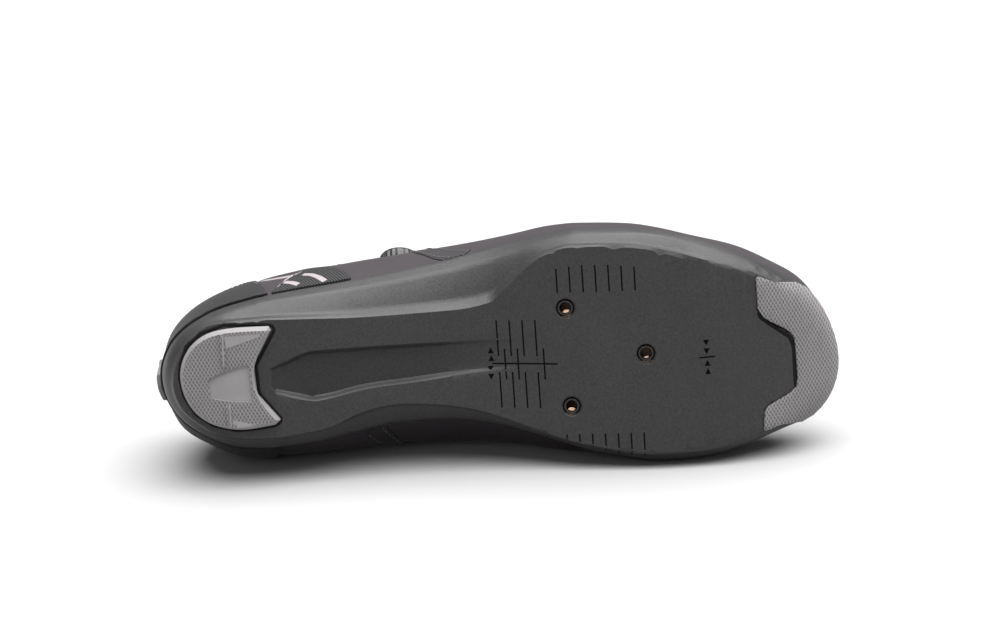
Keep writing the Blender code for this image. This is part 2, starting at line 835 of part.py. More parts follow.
def add_heel_pad(shoe, finish):
    top = bottom_height(0.12 * LENGTH) - GAP
    mesh = prism("heel_pad", in_plan(HEEL_PAD_OUTLINE), top - HEEL_PAD_HEIGHT, top)
    shape = bmesh.new()
    shape.from_mesh(mesh)
    low = top - HEEL_PAD_HEIGHT
    rim = [edge for edge in shape.edges if all(abs(vert.co.z - low) < 1e-6 for vert in edge.verts)]
    bmesh.ops.bevel(shape, geom=rim, offset=HEEL_PAD_BEVEL, segments=1, affect="EDGES")
    shape.to_mesh(mesh)
    shape.free()
    pad = shoe.piece("heel_pad", mesh, finish)
    window = prism("heel_pad_window", in_plan(HEEL_PAD_WINDOW), low - HEEL_PAD_HEIGHT, low + HEEL_PAD_SINK)
    cut(pad, shoe.cutter("heel_pad_window", window))
    for number, ends in enumerate(HEEL_RIB_ENDS, 1):
        middle, half = LENGTH * HEEL_RIB_ALONG, HEEL_RIB_WIDTH / 2
        start, end = (BALL_WIDTH * across for across in ends)
        outline = ((middle - half, start), (middle + half, start), (middle + half, end), (middle - half, end))
        name = f"heel_rib_{number}"
        rib = shoe.cutter(name, prism(name, outline, low - HEEL_RIB_HEIGHT, low + HEEL_PAD_BEVEL))
        cut(pad, rib, "UNION")


# Upper and its overlays


def last_levels(theta, side, closed):
    """Levels of one row of the upper. A closed row goes on from its opening's edge to the crest."""
    top = top_level(theta, side)
    levels = [-1 + i / LOW_LEVELS for i in range(LOW_LEVELS)]
    levels += [top * i / ARCH_LEVELS for i in range(ARCH_LEVELS + 1)]
    if closed:
        levels += [top + (1 - top) * i / TOP_LEVELS for i in range(1, TOP_LEVELS + 1)]
    return levels


def last_shell(name, closed):
    """The last's surface in triangles, open underneath and, unless closed, at collar and throat."""
    shape = bmesh.new()
    for side in SIDES:
        rows = []
        for theta in stations(STATION_COUNT, STATION_SHARES):
            levels = last_levels(theta, side, closed)
            rows.append([last_point(theta, side, level) for level in levels])
        part = grid_mesh("side", rows)
        shape.from_mesh(part)
        bpy.data.meshes.remove(part)
    bmesh.ops.remove_doubles(shape, verts=shape.verts, dist=WELD)
    bmesh.ops.triangulate(shape, faces=shape.faces, quad_method="SHORT_EDGE")
    mesh = bpy.data.meshes.new(name)
    shape.to_mesh(mesh)
    shape.free()
    turn_outward(mesh, Vector((LENGTH * 0.5, 0, INSTEP_HEIGHT * 0.3)))
    return mesh


def last_form(name, offset):
    """The last as one closed block with the upper's own facets, grown by an offset."""
    mesh = last_shell(name, True)
    shape = bmesh.new()
    shape.from_mesh(mesh)
    rim = [vert for vert in shape.verts if vert.is_boundary]
    feet = {}
    for side in SIDES:
        wanted = [last_point(theta, side, -1) for theta in stations(STATION_COUNT, STATION_SHARES)]
        feet[side] = [min(rim, key=lambda vert: (vert.co - foot).length) for foot in wanted]
    moves = [vert.normal * offset for vert in shape.verts]
    for vert, move in zip(shape.verts, moves):
        vert.co += move
    outer, inner = feet["lateral"], feet["medial"]
    for i in range(len(outer) - 1):
        shape.faces.new(dict.fromkeys((outer[i], outer[i + 1], inner[i + 1], inner[i])))
    bmesh.ops.recalc_face_normals(shape, faces=shape.faces)
    shape.to_mesh(mesh)
    shape.free()
    return mesh


def add_upper(shoe, finish):
    upper = shoe.piece("upper", last_shell("upper", False), finish)
    thicken(upper, UPPER_WALL, False)
    return upper


def side_prism(name, outline, low, high):
    """An outline given as x and z, extruded across the shoe from one y to another."""
    mesh = prism(name, [(x, z) for x, z in outline], -high, -low)
    mesh.transform(Matrix.Rotation(radians(90), 4, "X"))
    return mesh


def rear_prism(name, outline, low, high):
    """An outline given as y and z, extruded along the shoe from one x to another."""
    mesh = prism(name, outline, low, high)
    mesh.transform(Matrix(((0, 0, 1, 0), (1, 0, 0, 0), (0, 1, 0, 0), (0, 0, 0, 1))))
    return mesh


def above_lip(x):
    """Height of an overlay's lower edge, just over the sole's lip."""
    share = max(0.0, min(1.0, (x - LIP_HEEL) / (LIP_TOE - LIP_HEEL)))
    return lip_height(angle_of(share)) + SKIN_ABOVE_LIP


def add_heel_counter(shoe, finish, block):
    """The stiff cup round the heel, from the lip to a line that falls towards the arch."""
    outline = [(LENGTH * x, max(HEEL_HEIGHT * z, above_lip(LENGTH * x))) for x, z in COUNTER_TOP]
    front, back = outline[0][0], outline[-1][0]
    outline += [(back + (front - back) * i / 6, above_lip(back + (front - back) * i / 6)) for i in range(6)]
    cup = shoe.piece("heel_counter", last_form("heel_counter", GAP + SKIN_THICKNESS), finish)
    form = side_prism("counter_outline", outline, -BALL_WIDTH, BALL_WIDTH)
    cut(cup, shoe.cutter("counter_outline", form), "INTERSECT")
    cut(cup, block)


def add_heel_tab(shoe, finish):
    """The hard tab at the back of the heel, rounded in rear view and laid over the counter."""
    under = 2 * GAP + SKIN_THICKNESS
    middle, reach = HEEL_HEIGHT * (TAB_LOW + TAB_HIGH) / 2, HEEL_HEIGHT * (TAB_HIGH - TAB_LOW) / 2
    centre = BALL_WIDTH * LAST[0][3]
    outline = []
    for i in range(TAB_STEPS):
        turn = 2 * pi * (i + 0.5) / TAB_STEPS
        across = abs(cos(turn)) ** 0.8 * (1 if cos(turn) > 0 else -1)
        up = abs(sin(turn)) ** 0.8 * (1 if sin(turn) > 0 else -1)
        outline.append((centre + BALL_WIDTH * TAB_WIDTH / 2 * across, middle + reach * up))
    tab = shoe.piece("heel_tab", last_form("heel_tab", under + TAB_THICKNESS), finish)
    form = rear_prism("tab_outline", outline, -LENGTH * 0.07, LENGTH * 0.11)
    cut(tab, shoe.cutter("tab_outline", form), "INTERSECT")
    cut(tab, shoe.cutter("tab_block", last_form("tab_block", under)))


def add_quarter_panel(shoe, finish, block):
    """The arched mesh panel on the outer side of the quarter."""
    start, end, peak = (LENGTH * share for share in (PANEL_START, PANEL_END, PANEL_PEAK))
    outline = []
    for i in range(PANEL_STEPS + 1):
        x = start + (end - start) * i / PANEL_STEPS
        arch = 1 - ((peak - x) / (peak - (start if x < peak else end))) ** 2
        low = above_lip(x)
        outline.append((x, low + (HEEL_HEIGHT * PANEL_TOP - low) * arch))
    outline += [(end + (start - end) * i / 4, above_lip(end + (start - end) * i / 4)) for i in (1, 2, 3)]
    panel = shoe.piece("quarter_panel", last_form("quarter_panel", GAP + SKIN_THICKNESS), finish)
    form = side_prism("panel_outline", outline, -BALL_WIDTH, -BALL_WIDTH * 0.1)
    cut(panel, shoe.cutter("panel_outline", form), "INTERSECT")
    cut(panel, block)


def add_tongue(shoe, finish):
    """A padded sheet under the throat, on the last's own curve inside the wall."""
    inside = UPPER_WALL + TONGUE_CLEARANCE
    first, last = last_angle(LENGTH * TONGUE_TOP), last_angle(LENGTH * TONGUE_END)
    rows = []
    for i in range(TONGUE_ROWS + 1):
        theta = first + (last - first) * i / TONGUE_ROWS
        row = []
        for j in range(TONGUE_COLUMNS + 1):
            across = 2 * j / TONGUE_COLUMNS - 1
            side = "lateral" if across < 0 else "medial"
            corner = max(0.0, 1 - 3.5 * i / TONGUE_ROWS)
            level = 1 - (1 - TONGUE_LEVEL) * abs(across) * (1 - 0.25 * corner)
            row.append(last_point(theta, side, level))
        rows.append(row)
    mesh = grid_mesh("tongue", rows)
    turn_outward(mesh, Vector((LENGTH * 0.46, 0, INSTEP_HEIGHT * 0.2)))
    lift(mesh, -inside)
    thicken(shoe.piece("tongue", mesh, finish), TONGUE_THICKNESS, False)


def add_insole(shoe, finish):
    """A board and sock in one, cut to the tray and dished like its floor."""
    rows = []
    for theta in stations(INSOLE_STATIONS):
        row = []
        for across in TRAY_COLUMNS:
            point = floor_point(theta, across)
            middle = floor_point(theta, 0)
            shrink = 1 - INSOLE_CLEARANCE / max((point - middle).length, INSOLE_CLEARANCE * 2)
            row.append(middle + (point - middle) * shrink)
        rows.append(row)
    mesh = grid_mesh("insole", rows)
    centre = Vector((LENGTH / 2, 0, -0.5))
    turn_outward(mesh, centre)
    for vert in mesh.vertices:
        vert.co.z += 2 * GAP
        vert.co.x = LENGTH / 2 + (vert.co.x - LENGTH / 2) * (1 - INSOLE_CLEARANCE / (LENGTH / 2))
    thicken(shoe.piece("insole", mesh, finish), INSOLE_THICKNESS, True)


# Closure


def frame_on_last(x, side, level, height):
    """A matrix with Z along the last's normal and X towards the toe, standing off the surface."""
    theta = last_angle(x)
    normal = last_normal(theta, side, level)
    forward = (Vector((1, 0, 0)) - normal * normal.x).normalized()
    across = normal.cross(forward)
    turned = Matrix((forward, across, normal)).transposed().to_4x4()
    turned.translation = last_point(theta, side, level) + normal * height
    return turned


def toothed_disc(name, radius, height, teeth, depth):
    """A knurled knob with a rounded upper edge and a shallow dished face."""
    profile = ((0.0, 0.0), (1.0, 0.0), (1.0, 0.72), (0.90, 1.0), (0.62, 1.0), (0.50, 0.86), (0.0, 0.86))
    shape = bmesh.new()
    rings = []
    for share, rise in profile:
        ring = []
        for i in range(2 * teeth):
            bite = depth if i % 2 and share == 1.0 else 0.0
            reach = radius * share - bite
            turn = pi * i / teeth
            ring.append(Vector((reach * cos(turn), reach * sin(turn), height * rise)))
        rings.append(ring)
    rows = [[ring[i] for ring in rings] for i in range(2 * teeth)]
    shape.free()
    mesh = grid_mesh(name, rows, closed=True)
    close_and_face_out(mesh)
    return mesh


def tapered_base(name, radius, tail, low, high):
    """A round foot that narrows to a tail towards the toe."""
    outline = []
    for i in range(19):
        turn = radians(60) + radians(240) * i / 18
        outline.append((radius * cos(turn), radius * sin(turn)))
    outline += [(radius + tail, -radius * 0.28), (radius + tail * 1.06, 0.0), (radius + tail, radius * 0.28)]
    return prism(name, outline, low, high)


def add_closure(shoe, plastic, knob_finish, metal, wire_finish, form):
    seat = frame_on_last(LENGTH * DIAL_ALONG, "lateral", DIAL_LEVEL, 0)
    base = shoe.piece("dial_base", tapered_base("dial_base", BASE_RADIUS, BASE_TAIL, -0.006, BASE_HEIGHT), plastic)
    base.matrix_local = seat
    cut(base, form)
    knob_seat = frame_on_last(LENGTH * DIAL_ALONG, "lateral", DIAL_LEVEL, BASE_HEIGHT + GAP)
    knob = shoe.piece("dial", toothed_disc("dial", DIAL_RADIUS, DIAL_HEIGHT, DIAL_TEETH, DIAL_TOOTH), knob_finish)
    knob.matrix_local = knob_seat

    for number, x in enumerate(GUIDE_STATIONS, 1):
        for side in SIDES:
            name = f"lace_guide_{side}_{number}"
            half, reach = GUIDE_WIDTH / 2, GUIDE_LENGTH / 2
            outline = ((-reach, -half), (reach, -half), (reach, half), (-reach, half))
            guide = shoe.piece(name, prism(name, outline, -0.004, GUIDE_HEIGHT), metal)
            guide.matrix_local = frame_on_last(LENGTH * x, side, GUIDE_LEVEL, 0)
            cut(guide, form)
    add_wire(shoe, seat, wire_finish)


def over_throat(x, across, height):
    """A point over the last: across runs from -1 on the lateral side over the crest to 1."""
    side = "lateral" if across < 0 else "medial"
    level = 1 - abs(across)
    theta = last_angle(x)
    return last_point(theta, side, level) + last_normal(theta, side, min(level, 0.97)) * height


def wire_route(seat):
    """The lace wire: from the dial's foot over the throat and back between the guides."""
    back, front = (LENGTH * along for along in GUIDE_STATIONS)
    reach = GUIDE_LENGTH * 0.3
    stops = (
        (back - reach, WIRE_TURN),
        (back + reach * 0.6, WIRE_TURN),
        (back + reach * 0.6, -WIRE_TURN),
        (back + reach, -WIRE_TURN),
        (front - reach, WIRE_TURN),
        (front + reach, WIRE_TURN),
        (front + reach, -WIRE_TURN),
    )
    start = (LENGTH * DIAL_ALONG + BASE_RADIUS * 0.4, -(1 - DIAL_LEVEL) + 0.21)
    points = [seat @ Vector((BASE_RADIUS * 0.35, BASE_RADIUS + GAP + WIRE_RADIUS, WIRE_HEIGHT))]
    for (x0, a0), (x1, a1) in zip((start,) + stops, stops):
        steps = WIRE_STEPS if abs(a1 - a0) > 0.1 else 1
        points += [
            over_throat(x0 + (x1 - x0) * i / steps, a0 + (a1 - a0) * i / steps, WIRE_HEIGHT)
            for i in range(1, steps + 1)
        ]
    return points


def add_wire(shoe, seat, finish):
    line = bpy.data.curves.new("lace_wire", "CURVE")
    line.dimensions = "3D"
    line.bevel_depth = WIRE_RADIUS
    line.bevel_resolution = 1
    line.use_fill_caps = True
    route = wire_route(seat)
    spline = line.splines.new("POLY")
    spline.points.add(len(route) - 1)
    for place, point in zip(spline.points, route):
        place.co = (*point, 1)
    shoe.piece("lace_wire", line, finish)


# Laying the shoe down


def settled_turn(shoe):
    """The turn that lays the shoe on the most inward face of its hull that holds up its mass centre."""
    bpy.context.view_layer.update()
    graph = bpy.context.evaluated_depsgraph_get()
    hull = bmesh.new()
    for made in shoe.parts.objects:
        if made.type == "EMPTY":
            continue
        evaluated = made.evaluated_get(graph)
        mesh = evaluated.to_mesh()
        for vert in mesh.vertices:
            hull.verts.new(made.matrix_world @ vert.co)
        evaluated.to_mesh_clear()
    result = bmesh.ops.convex_hull(hull, input=hull.verts)
    inside = result["geom_interior"] + result["geom_unused"]
    bmesh.ops.delete(hull, geom=[item for item in set(inside) if isinstance(item, bmesh.types.BMVert)], context="VERTS")
    hull.normal_update()
    centre = Vector((MASS_CENTRE[0] * LENGTH, MASS_CENTRE[1] * BALL_WIDTH, MASS_CENTRE[2] * INSTEP_HEIGHT))
    middle = sum((vert.co for vert in hull.verts), Vector()) / len(hull.verts)
    found = (-1e9, None, None)
    for face in hull.faces:
        corners = [vert.co.copy() for vert in face.verts]
        normal = (corners[1] - corners[0]).cross(corners[2] - corners[0]).normalized()
        if normal.dot(corners[0] - middle) < 0:
            normal = -normal
            corners.reverse()
        if normal.y < 0.85:
            continue
        drop = centre + normal * normal.dot(corners[0] - centre)
        sides = [(corners[i], corners[(i + 1) % 3]) for i in range(3)]
        inside = min((b - a).normalized().cross(drop - a).dot(normal) for a, b in sides)
        score = normal.y + LEAN_COST * min(inside, 0.0)
        if score > found[0]:
            found = (score, normal, corners)
    hull.free()
    _, normal, corners = found
    down = -normal
    along = (Vector((1, 0, 0)) - down * down.x).normalized()
    back = down.cross(along)
    turn = Matrix((along, back, down)).to_4x4()
    return turn, corners


def lay_down(shoe):
    turn, _ = settled_turn(shoe)
    shoe.empty.matrix_world = turn
    bpy.context.view_layer.update()
    graph = bpy.context.evaluated_depsgraph_get()
    points = []
    for made in shoe.parts.objects:
        if made.type == "EMPTY":
            continue
        evaluated = made.evaluated_get(graph)
        mesh = evaluated.to_mesh()
        points += [made.matrix_world @ vert.co for vert in mesh.vertices]
        evaluated.to_mesh_clear()
    low = [min(point[axis] for point in points) for axis in range(3)]
    high = [max(point[axis] for point in points) for axis in range(3)]
    shift = Vector((-(low[0] + high[0]) / 2, -(low[1] + high[1]) / 2, -low[2]))
    shoe.empty.matrix_world = Matrix.Translation(shift) @ turn
    bpy.context.view_layer.update()


def main():
    for old in list(bpy.data.objects):
        bpy.data.objects.remove(old)
    bpy.context.scene.unit_settings.system = "METRIC"
    shoe = Shoe()
    charcoal = material("sole_charcoal", (0.045, 0.043, 0.043), 0.55)
    pad_grey = material("pad_grey", (0.36, 0.35, 0.35), 0.6)
    steel = material("dark_steel", (0.35, 0.34, 0.33), 0.3, 1.0)
    microfibre = material("upper_microfibre", (0.095, 0.08, 0.088), 0.7)
    ribbed = material("ribbed_mesh", (0.02, 0.02, 0.022), 0.6)
    tab_grey = material("tab_grey", (0.16, 0.155, 0.155), 0.5)
    lining = material("lining_black", (0.025, 0.025, 0.027), 0.85)
    board = material("insole_board", (0.19, 0.11, 0.07), 0.8)
    black = material("black_plastic", (0.02, 0.02, 0.022), 0.35)
    wire = material("wire_steel", (0.5, 0.5, 0.5), 0.3, 1.0)

    add_sole(shoe, charcoal, pad_grey, steel)
    add_heel_pad(shoe, pad_grey)
    add_upper(shoe, microfibre)
    add_tongue(shoe, lining)
    add_insole(shoe, board)
    block = shoe.cutter("last_block", last_form("last_block", GAP))
    add_heel_counter(shoe, microfibre, block)
    add_heel_tab(shoe, tab_grey)
    add_quarter_panel(shoe, ribbed, block)
    add_closure(shoe, black, black, black, wire, block)
    lay_down(shoe)


main()
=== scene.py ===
import json
from math import cos, pi, radians, sin

import bmesh
import bpy
import numpy as np
from mathutils import Matrix, Vector


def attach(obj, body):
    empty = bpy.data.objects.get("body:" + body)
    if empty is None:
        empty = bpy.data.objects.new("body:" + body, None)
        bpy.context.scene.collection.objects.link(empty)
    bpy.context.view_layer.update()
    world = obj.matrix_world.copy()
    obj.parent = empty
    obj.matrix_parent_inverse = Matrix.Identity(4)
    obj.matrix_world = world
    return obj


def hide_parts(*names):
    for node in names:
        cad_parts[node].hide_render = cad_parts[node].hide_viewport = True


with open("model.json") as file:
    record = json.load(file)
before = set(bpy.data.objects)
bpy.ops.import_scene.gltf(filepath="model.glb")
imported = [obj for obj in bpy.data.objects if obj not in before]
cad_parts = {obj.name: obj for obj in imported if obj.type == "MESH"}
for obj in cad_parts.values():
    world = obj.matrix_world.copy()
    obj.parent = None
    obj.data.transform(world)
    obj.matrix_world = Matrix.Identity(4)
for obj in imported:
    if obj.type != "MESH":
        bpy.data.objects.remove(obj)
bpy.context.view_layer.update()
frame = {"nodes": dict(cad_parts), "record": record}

bl_info = {
    "name": "Road cycling shoe",
    "version": (1, 0, 0),
    "blender": (4, 5, 0),
    "location": "View3D > Sidebar > Shoe",
    "description": "Dresses the packed road cycling shoe: sole, pads, upper, closure and stage",
    "category": "Object",
}

ROOT = "root"


# The shoe's own frame, read from the flat face of its heel pad

PAD_FACE_ON_SHOE = Vector((0.036, 0.0125, 0.0))


def shoe_matrix():
    """X heel to toe, Y to the inner side, Z from the tread to the foot, inside the row's frame."""
    face = frame["record"]["mounts"][0]
    up = -Vector(face["axis"]).normalized()
    ahead = (Vector((1, 0, 0)) - up * up.x).normalized()
    across = up.cross(ahead)
    turn = Matrix((ahead, across, up)).transposed().to_4x4()
    return Matrix.Translation(Vector(face["pos_m"]) - turn.to_3x3() @ PAD_FACE_ON_SHOE) @ turn


SHOE = shoe_matrix()


def on_shoe(x, y, z):
    return SHOE @ Vector((x, y, z))


# Sizes and colours a user may change


def length(name, description, default, low=0.0, high=1.0):
    return bpy.props.FloatProperty(
        name=name, description=description, default=default, min=low, max=high, unit="LENGTH", precision=5
    )


def angle(name, description, default):
    return bpy.props.FloatProperty(
        name=name, description=description, default=default, subtype="ANGLE", unit="ROTATION"
    )


def light(name, description, default, unit="NONE"):
    return bpy.props.FloatProperty(name=name, description=description, default=default, min=0.0, unit=unit)


def colour(name, description, default):
    return bpy.props.FloatVectorProperty(
        name=name, description=description, default=default, size=3, min=0.0, max=1.0, subtype="COLOR"
    )


def whole(name, description, default, low, high):
    return bpy.props.IntProperty(name=name, description=description, default=default, min=low, max=high)


class ShoeSoleSettings(bpy.types.PropertyGroup):
    """Sole, pads, inserts and scale marks."""

    sole: colour("Sole", "Moulded sole", (0.0235, 0.0222, 0.0227))
    pad: colour("Pads", "Heel pad and toe bumper", (0.205, 0.195, 0.199))
    # Near black: painted shadow in the grooves round the pads.
    groove_shadow: colour("Groove", "Dark groove round the pads", (0.006, 0.006, 0.006))
    insert: colour("Inserts", "Threaded cleat inserts", (0.055, 0.053, 0.052))
    # Brown like the insole board, but painted much brighter: painted light on the board inside the insert
    # holes.
    board: colour("Board", "Lasting board seen through the inserts", (0.62, 0.40, 0.28))
    recess_extra: length("Recess depth", "How much deeper the recess is than its plain form", 0.0009)
    # Near black: painted shade in the engraved scale marks.
    mark: colour("Marks", "Scale marks in the sole", (0.0012, 0.0012, 0.0012))
    smoothing: whole("Smoothing", "Subdivision levels of the sole", 2, 0, 3)
    mark_width: length("Mark width", "Width of one scale mark", 0.0006)
    knurl: length("Knurl", "Spacing of the pads' diamond texture", 0.0015)


class ShoeUpperSettings(bpy.types.PropertyGroup):
    """Upper, overlays, tongue and insole."""

    upper: colour("Upper", "Microfibre of the upper", (0.021, 0.0165, 0.0200))
    panel: colour("Panel", "Ribbed quarter panel", (0.012, 0.012, 0.013))
    stripe: colour("Stripe", "Reflective stripes and piping", (0.24, 0.21, 0.22))
    tab: colour("Heel tab", "Hard heel tab", (0.11, 0.106, 0.106))
    lining: colour("Lining", "Tongue and lining fabric", (0.018, 0.018, 0.020))
    board: colour("Board", "Insole and board", (0.19, 0.115, 0.08))
    smoothing: whole("Smoothing", "Subdivision levels of the upper", 2, 0, 3)
    cup: colour("Heel cup", "Microfibre of the heel cup", (0.008, 0.007, 0.0078))
    band: colour("Bands", "Side bands of the upper", (0.017, 0.0145, 0.0165))
    thread: colour("Thread", "Stitches", (0.040, 0.037, 0.039))
    crease_depth: length("Crease depth", "Depth of the flex creases over the toes", 0.0005)


class ShoeClosureSettings(bpy.types.PropertyGroup):
    """Dial, guides and wire."""

    plastic: colour("Plastic", "Dial and guides", (0.012, 0.012, 0.013))
    wire: colour("Wire", "Lace wire", (0.42, 0.42, 0.43))
    bevel: length("Edge", "Rounding of the plastic edges", 0.0003)


class ShoeStageSettings(bpy.types.PropertyGroup):
    """Floor, light and camera."""

    floor: colour("Floor", "Floor and background", (0.34, 0.34, 0.34))
    tilt: angle("Tilt", "Camera above the sole's normal", radians(10.0))
    roll: angle("Roll", "Camera roll", radians(2.9))
    distance: length("Distance", "Camera to the sole's middle", 0.969, 0.1, 5.0)
    key: light("Key", "Strength of the broad light above", 10.0)
    front: light("Front", "Power of the front light", 1.5, "POWER")
    air: light("Air", "Strength of the light all round", 0.26)


# Building tools

REACH = 0.2
MERGE_DISTANCE = 0.00001
CRISP_ANGLE = radians(7)
EDGE_ANGLE = radians(35)
ALL_SMOOTH = radians(60)
QUAD_SHAPE = radians(50)
FROM_OUTER, FROM_INNER = (0, 1, 0), (0, -1, 0)
FROM_BELOW, FROM_ABOVE = (0, 0, 1), (0, 0, -1)
STITCH_WIDTH = 0.00045
STITCH_PITCH = 0.0026
STITCH_SHARE = 0.62
STITCH_PROUD = 0.00022
STITCH_WALL = STITCH_PROUD * 1.6
TROUGH_STEPS = 40
TROUGH_ENDS = 8
TROUGH_FACING = -0.2


def deselect():
    if bpy.context.mode != "OBJECT":
        bpy.ops.object.mode_set(mode="OBJECT")
    bpy.ops.object.select_all(action="DESELECT")


def pick(made):
    deselect()
    made.select_set(True)
    bpy.context.view_layer.objects.active = made
    return made


def node_copy(node, name):
    """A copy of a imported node, with its loose triangles merged into one skin of quads."""
    deselect()
    source = frame["nodes"][node]
    source.hide_viewport = False
    source.select_set(True)
    bpy.context.view_layer.objects.active = source
    bpy.ops.object.duplicate()
    made = bpy.context.object
    made.name = name
    made.data.name = name
    for key in list(made.keys()):
        del made[key]
    bpy.ops.object.mode_set(mode="EDIT")
    bpy.ops.mesh.select_all(action="SELECT")
    bpy.ops.mesh.remove_doubles(threshold=MERGE_DISTANCE)
    bpy.ops.mesh.tris_convert_to_quads(face_threshold=EDGE_ANGLE, shape_threshold=QUAD_SHAPE)
    bpy.ops.object.mode_set(mode="OBJECT")
    return made


def settle(made, *nodes):
    """Leaves the piece at the origin, riding on its body and standing for its nodes."""
    pick(made)
    bpy.ops.object.transform_apply(location=True, rotation=True, scale=True)
    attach(made, ROOT)
    if nodes:
        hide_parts(*nodes)
    return made


def apply_all(made):
    pick(made)
    for modifier in list(made.modifiers):
        bpy.ops.object.modifier_apply(modifier=modifier.name)


def round_off(made, levels, sharp, crease=1.0, crisp=None):
    """Subdivides the skin, holding the edges that are sharper than the angle, and all in a crisp region."""
    to_shoe = SHOE.inverted()
    shape = bmesh.new()
    shape.from_mesh(made.data)
    held = shape.edges.layers.float.get("crease_edge") or shape.edges.layers.float.new("crease_edge")
    for edge in shape.edges:
        if len(edge.link_faces) != 2 or edge.calc_face_angle(0) > sharp:
            edge[held] = crease
        elif crisp and crisp(to_shoe @ ((edge.verts[0].co + edge.verts[1].co) / 2)):
            edge[held] = 1.0 if edge.calc_face_angle(0) > CRISP_ANGLE else 0.0
    shape.to_mesh(made.data)
    shape.free()
    skin = made.modifiers.new("skin", "SUBSURF")
    skin.levels = levels
    skin.render_levels = levels
    apply_all(made)


def soften(made, width, sharp=None):
    """Bevels the edges past an angle, or past Blender's own where none is given."""
    edges = made.modifiers.new("edges", "BEVEL")
    edges.width = width
    edges.segments = 2
    if sharp:
        edges.limit_method = "ANGLE"
        edges.angle_limit = sharp
    apply_all(made)


def soft_shade(made, sharp=EDGE_ANGLE):
    pick(made)
    bpy.ops.object.shade_smooth_by_angle(angle=sharp)


def land(target, place, look):
    """Where a look from outside meets a piece, and the normal there. The place is in the shoe's frame."""
    start = on_shoe(*(Vector(place) - Vector(look) * REACH))
    hit, point, normal, _ = target.ray_cast(start, SHOE.to_3x3() @ Vector(look))
    if not hit:
        _, point, normal, _ = target.closest_point_on_mesh(on_shoe(*place))
    return point, normal


def at(line, share):
    """The point at a share of a line's length."""
    runs = [(b - a).length for a, b in zip(line, line[1:])]
    left = max(0.0, min(1.0, share)) * sum(runs)
    for a, b, run in zip(line, line[1:], runs):
        if left <= run:
            return a.lerp(b, left / run)
        left -= run
    return line[-1].copy()


def strip(line, width, look, target, proud, rows=8, columns=1, far_width=None):
    """A thin band dropped onto a piece along a line, which may grow wider or narrower."""
    line = [Vector(point) for point in line]
    far_width = width if far_width is None else far_width
    deselect()
    bpy.ops.mesh.primitive_grid_add(x_subdivisions=rows, y_subdivisions=columns, size=1)
    made = bpy.context.object
    for vert in made.data.vertices:
        share = vert.co.x + 0.5
        ahead = (at(line, share + 0.02) - at(line, share - 0.02)).normalized()
        side = ahead.cross(Vector(look)).normalized()
        half = width + (far_width - width) * share
        point, normal = land(target, at(line, share) + side * vert.co.y * half, look)
        vert.co = point + normal * proud
    return made


def dashes(line, step, part):
    """A line cut into short ones, as stitches are."""
    line = [Vector(point) for point in line]
    count = max(1, round(sum((b - a).length for a, b in zip(line, line[1:])) / step))
    return [(at(line, i / count), at(line, (i + part) / count)) for i in range(count)]


def merged(name, pieces):
    """Many pieces made one."""
    deselect()
    for made in pieces:
        made.select_set(True)
    bpy.context.view_layer.objects.active = pieces[0]
    if len(pieces) > 1:
        bpy.ops.object.join()
    made = bpy.context.object
    made.name = name
    made.data.name = name
    return made


def joined(name, pieces, thickness):
    """Many bands made one piece, with a real thickness."""
    made = merged(name, pieces)
    wall = made.modifiers.new("wall", "SOLIDIFY")
    wall.thickness = thickness
    wall.offset = -1
    apply_all(made)
    return made


def seam(name, lines, look, target, finish):
    """Rows of stitches along lines on the upper."""
    bands = [
        strip(dash, STITCH_WIDTH, look, target, STITCH_PROUD, rows=2)
        for line in lines
        for dash in dashes(line, STITCH_PITCH, STITCH_SHARE)
    ]
    made = joined(name, bands, STITCH_WALL)
    soft_shade(made, ALL_SMOOTH)
    paint(made, finish)
    settle(made)


def bead(name, points, radius, closed=False):
    """A round bead through points of the row's frame."""
    deselect()
    bpy.ops.curve.primitive_nurbs_path_add()
    made = bpy.context.object
    made.name = name
    made.data.splines.clear()
    spline = made.data.splines.new("POLY")
    spline.points.add(len(points) - 1)
    for knot, point in zip(spline.points, points):
        knot.co = (*point, 1)
    spline.use_cyclic_u = closed
    made.data.bevel_depth = radius
    made.data.bevel_resolution = 3
    made.data.use_fill_caps = not closed
    bpy.ops.object.convert(target="MESH")
    return bpy.context.object


def press(made, troughs):
    """Pushes soft troughs into a skin, or ridges out of it, along lines on it."""
    mesh = made.data
    spots = np.empty(len(mesh.vertices) * 3)
    mesh.vertices.foreach_get("co", spots)
    spots = spots.reshape(-1, 3)
    normals = np.array([vert.normal[:] for vert in mesh.vertices])
    shift = np.zeros(len(spots))
    for line, look, width, depth in troughs:
        line = [Vector(point) for point in line]
        steps = range(TROUGH_STEPS + 1)
        landed = [land(made, at(line, i / TROUGH_STEPS), look)[0] for i in steps]
        fade = [min(1.0, i / TROUGH_ENDS, (TROUGH_STEPS - i) / TROUGH_ENDS) for i in steps]
        away = spots[:, None, :] - np.array([point[:] for point in landed])[None]
        near = np.linalg.norm(away, axis=2)
        nearest = near.argmin(axis=1)
        pull = np.exp(-((near.min(axis=1) / width) ** 2)) * np.array(fade)[nearest]
        out = np.array(land(made, at(line, 0.5), look)[1][:])
        facing = (normals @ out) > TROUGH_FACING
        shift -= pull * depth * facing
    spots += normals * shift[:, None]
    mesh.vertices.foreach_set("co", spots.reshape(-1))
    mesh.update()


def paint(made, *finishes):
    made.data.materials.clear()
    for finish in finishes:
        made.data.materials.append(finish)


# Finishes

NOISE_MIDDLE = (0.3, 0.7)
DIAMOND_LENGTH = 1.7


